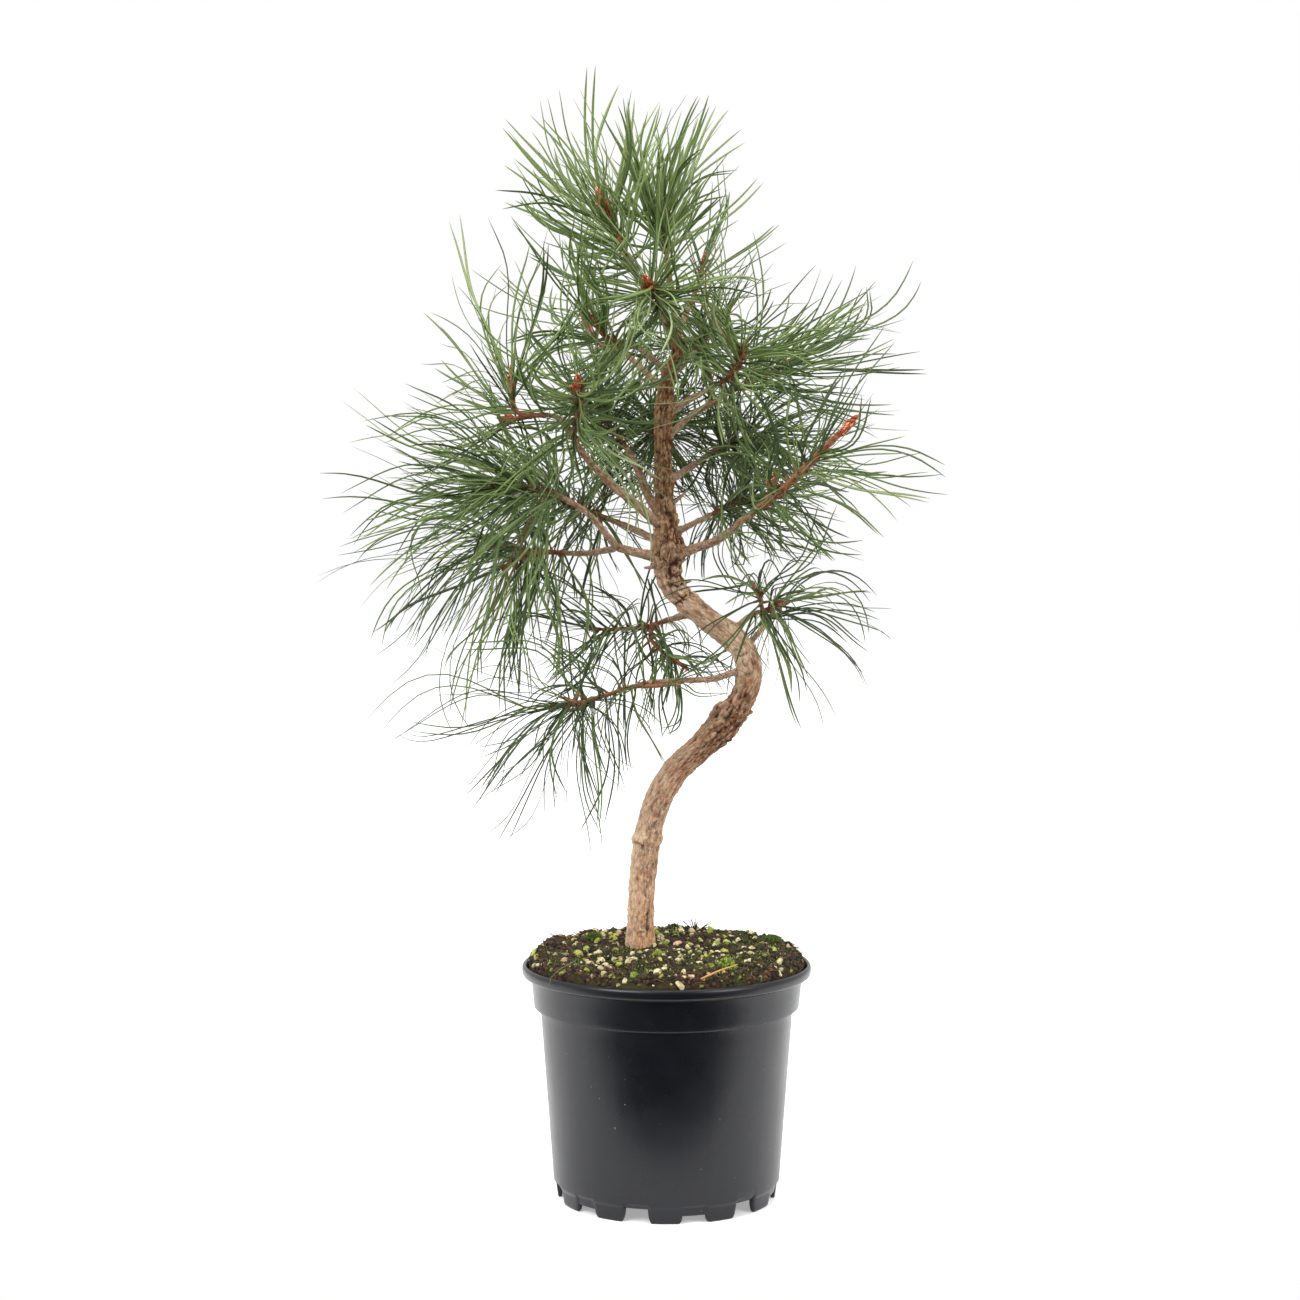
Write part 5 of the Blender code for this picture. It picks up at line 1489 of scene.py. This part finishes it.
# Grit: name, light colour and stain
GRIT = [("grit cream", (228, 218, 172), (150, 134, 84)),
        ("grit yellow green", (194, 194, 104), (110, 116, 48)),
        ("grit green", (146, 158, 70), (70, 84, 32)), ("grit pink", (222, 190, 156), (140, 104, 76)),
        ("grit grey", (180, 178, 142), (90, 92, 64))]
GRIT_WEIGHTS = [0.38, 0.3, 0.16, 0.1, 0.06]
GRIT_COUNTS = (900, 130)


def plain_finishes(table):
    """The materials of a table of plain finishes."""
    return [plain(name, srgb(*colour), roughness) for name, colour, roughness in table]


def more_at_rim(chance, count, at_rim):
    """Places all over the soil and more of them at its rim."""
    return (np.r_[inner, rim] for inner, rim in zip(on_soil(chance, count),
                                                    on_soil(chance, at_rim, RIM, SOIL_EDGE)))


def build_ground():
    """The pot, the soil in it and what lies on the soil."""
    build_pot(plastic_finish())
    build_soil(earth_finish("peat", srgb(26, 19, 13), srgb(78, 54, 38), srgb(56, 66, 28)))
    chance = np.random.default_rng(57)
    ball, ball_faces, rough_ball, rough_faces = ball_mesh()
    crumbs = plain_finishes(CRUMBS)
    x, y = more_at_rim(chance, *CRUMB_COUNTS)
    sizes = chance.uniform(*CRUMB_SIZES, len(x))
    scattered("peat_crumbs", crumbs, CRUMB_WEIGHTS, chance, x, y, sizes, rough_ball, rough_faces, 0.1, 0.35)
    grit = [grit_finish(name, srgb(*light), srgb(*stain)) for name, light, stain in GRIT]
    x, y = more_at_rim(chance, *GRIT_COUNTS)
    sizes = 0.9 + 2.4 * chance.random(len(x)) ** 1.8
    keep = apart_from_larger(x, y, sizes) & (chance.random(len(x)) > np.interp(x, [20, 50], [0.0, 0.45]))
    scattered("grit_grains", grit, GRIT_WEIGHTS, chance, x[keep], y[keep], sizes[keep], ball, ball_faces,
              0.15, 0.1, cuts=6)
    build_moss(plain_finishes(MOSSES))
    build_litter(plain_finishes(LITTER))


def build_object():
    """Every piece of the potted pine."""
    limbs = limb_lines()
    shoots = {name: shoot_lines(mass, limbs) for name, mass in MASSES.items()}
    bark, bough_bark, shoot_bark = (bark_finish(*row) for row in (STEM_BARK, BOUGH_BARK, SHOOT_BARK))
    tones = [plain(f"needle tone {k}", srgb(*colour), 0.48, Specular_IOR_Level=0.35)
             for k, colour in enumerate(GREENS + [DRY])]
    build_trunk(limbs, bark)
    build_boughs(limbs, bough_bark)
    build_foliage(limbs, shoots, tones, plain_finishes(SHEATHS))
    build_shoots(shoots, limbs, shoot_bark)
    build_buds(shoots, plain_finishes(BUDS))
    build_ground()


# The studio, in metres and watts

# Lamp: its place, the width of its disk and its power
LAMPS = {"lamp_left": ((-1.5, -1.7, 1.9), 1.5, 50.0), "lamp_right": ((1.7, -1.5, 1.3), 1.3, 25.0),
         "lamp_above": ((0.0, 0.2, 2.3), 1.6, 24.0)}
LAMPS_AIM = (0.0, 0.0, 0.38)
CAMERA_PLACE = (-0.0109, -1.73, 0.481)
CAMERA_TILT = 3.97         # degrees below the level
CAMERA_LENS = 73.58        # mm on a sensor 36 mm wide
FLOOR_FRONT = -190         # mm, where the floor ends in front of the pot
FLOOR_REACH = 6000         # mm, to its other sides
FLOOR_GLOW = 0.35          # the strength of its own light
DARK_WAY = (0.0, -0.96, -0.28)      # the surround is darkest there
WHITE = (1.0, 1.0, 1.0, 1.0)


def build_floor():
    """A pale floor that ends a little way in front of the pot, as a studio table does."""
    pale = plain("studio floor", srgb(250, 250, 250), 0.9, Specular_IOR_Level=0.1)
    shader = pale.node_tree.nodes["Principled BSDF"]
    shader.inputs["Emission Color"].default_value = WHITE
    shader.inputs["Emission Strength"].default_value = FLOOR_GLOW
    corners = np.array([(-FLOOR_REACH, FLOOR_FRONT, 0), (FLOOR_REACH, FLOOR_FRONT, 0),
                        (FLOOR_REACH, FLOOR_REACH, 0), (-FLOOR_REACH, FLOOR_REACH, 0)])
    floor = mesh_piece("studio_floor", corners, [np.array([(0, 1, 2, 3)])], [pale])


def build_surround():
    """A white surround that the camera sees as white, and that lights things less from the front."""
    world = bpy.data.worlds.new("white surround")
    world.use_nodes = True
    tree = world.node_tree
    tree.nodes.clear()
    way = node(tree, "ShaderNodeTexCoord").outputs["Generated"]
    facing = node(tree, "ShaderNodeVectorMath", {0: way, 1: DARK_WAY}, operation="DOT_PRODUCT")
    inputs = {"Value": facing.outputs["Value"], "From Min": 0.97, "From Max": 0.12, "To Min": 0.04}
    front = node(tree, "ShaderNodeMapRange", inputs, interpolation_type="SMOOTHSTEP")
    path = node(tree, "ShaderNodeLightPath")
    inputs = {0: path.outputs["Is Camera Ray"], 2: front.outputs["Result"], 3: 1.0}
    strength = node(tree, "ShaderNodeMix", inputs, data_type="FLOAT")
    light = node(tree, "ShaderNodeBackground", {"Color": WHITE, "Strength": strength.outputs[0]})
    result = node(tree, "ShaderNodeOutputWorld")
    tree.links.new(light.outputs["Background"], result.inputs["Surface"])
    bpy.context.scene.world = world


def build_lamps():
    """The large round lamps, aimed at the middle of the plant."""
    for name, (place, size, power) in LAMPS.items():
        lamp = bpy.data.lights.new(name, "AREA")
        lamp.shape = "DISK"
        lamp.size = size
        lamp.energy = power
        holder = bpy.data.objects.new(name, lamp)
        holder.location = place
        x, y, z = np.subtract(LAMPS_AIM, place)
        holder.rotation_euler = (math.atan2(math.hypot(x, y), -z), 0.0, math.atan2(-x, y))
        bpy.context.scene.collection.objects.link(holder)


def build_camera():
    """The camera in front, and the plain view transform."""
    eye = bpy.data.cameras.new("camera")
    eye.lens = CAMERA_LENS
    eye.sensor_width = 36.0
    eye.sensor_fit = "HORIZONTAL"
    camera = bpy.data.objects.new("camera", eye)
    camera.location = CAMERA_PLACE
    camera.rotation_euler = (math.radians(90.0 - CAMERA_TILT), 0.0, 0.0)
    bpy.context.scene.collection.objects.link(camera)
    bpy.context.scene.camera = camera
    bpy.context.scene.view_settings.view_transform = "Standard"


build_object()
build_floor()
build_surround()
build_lamps()
build_camera()
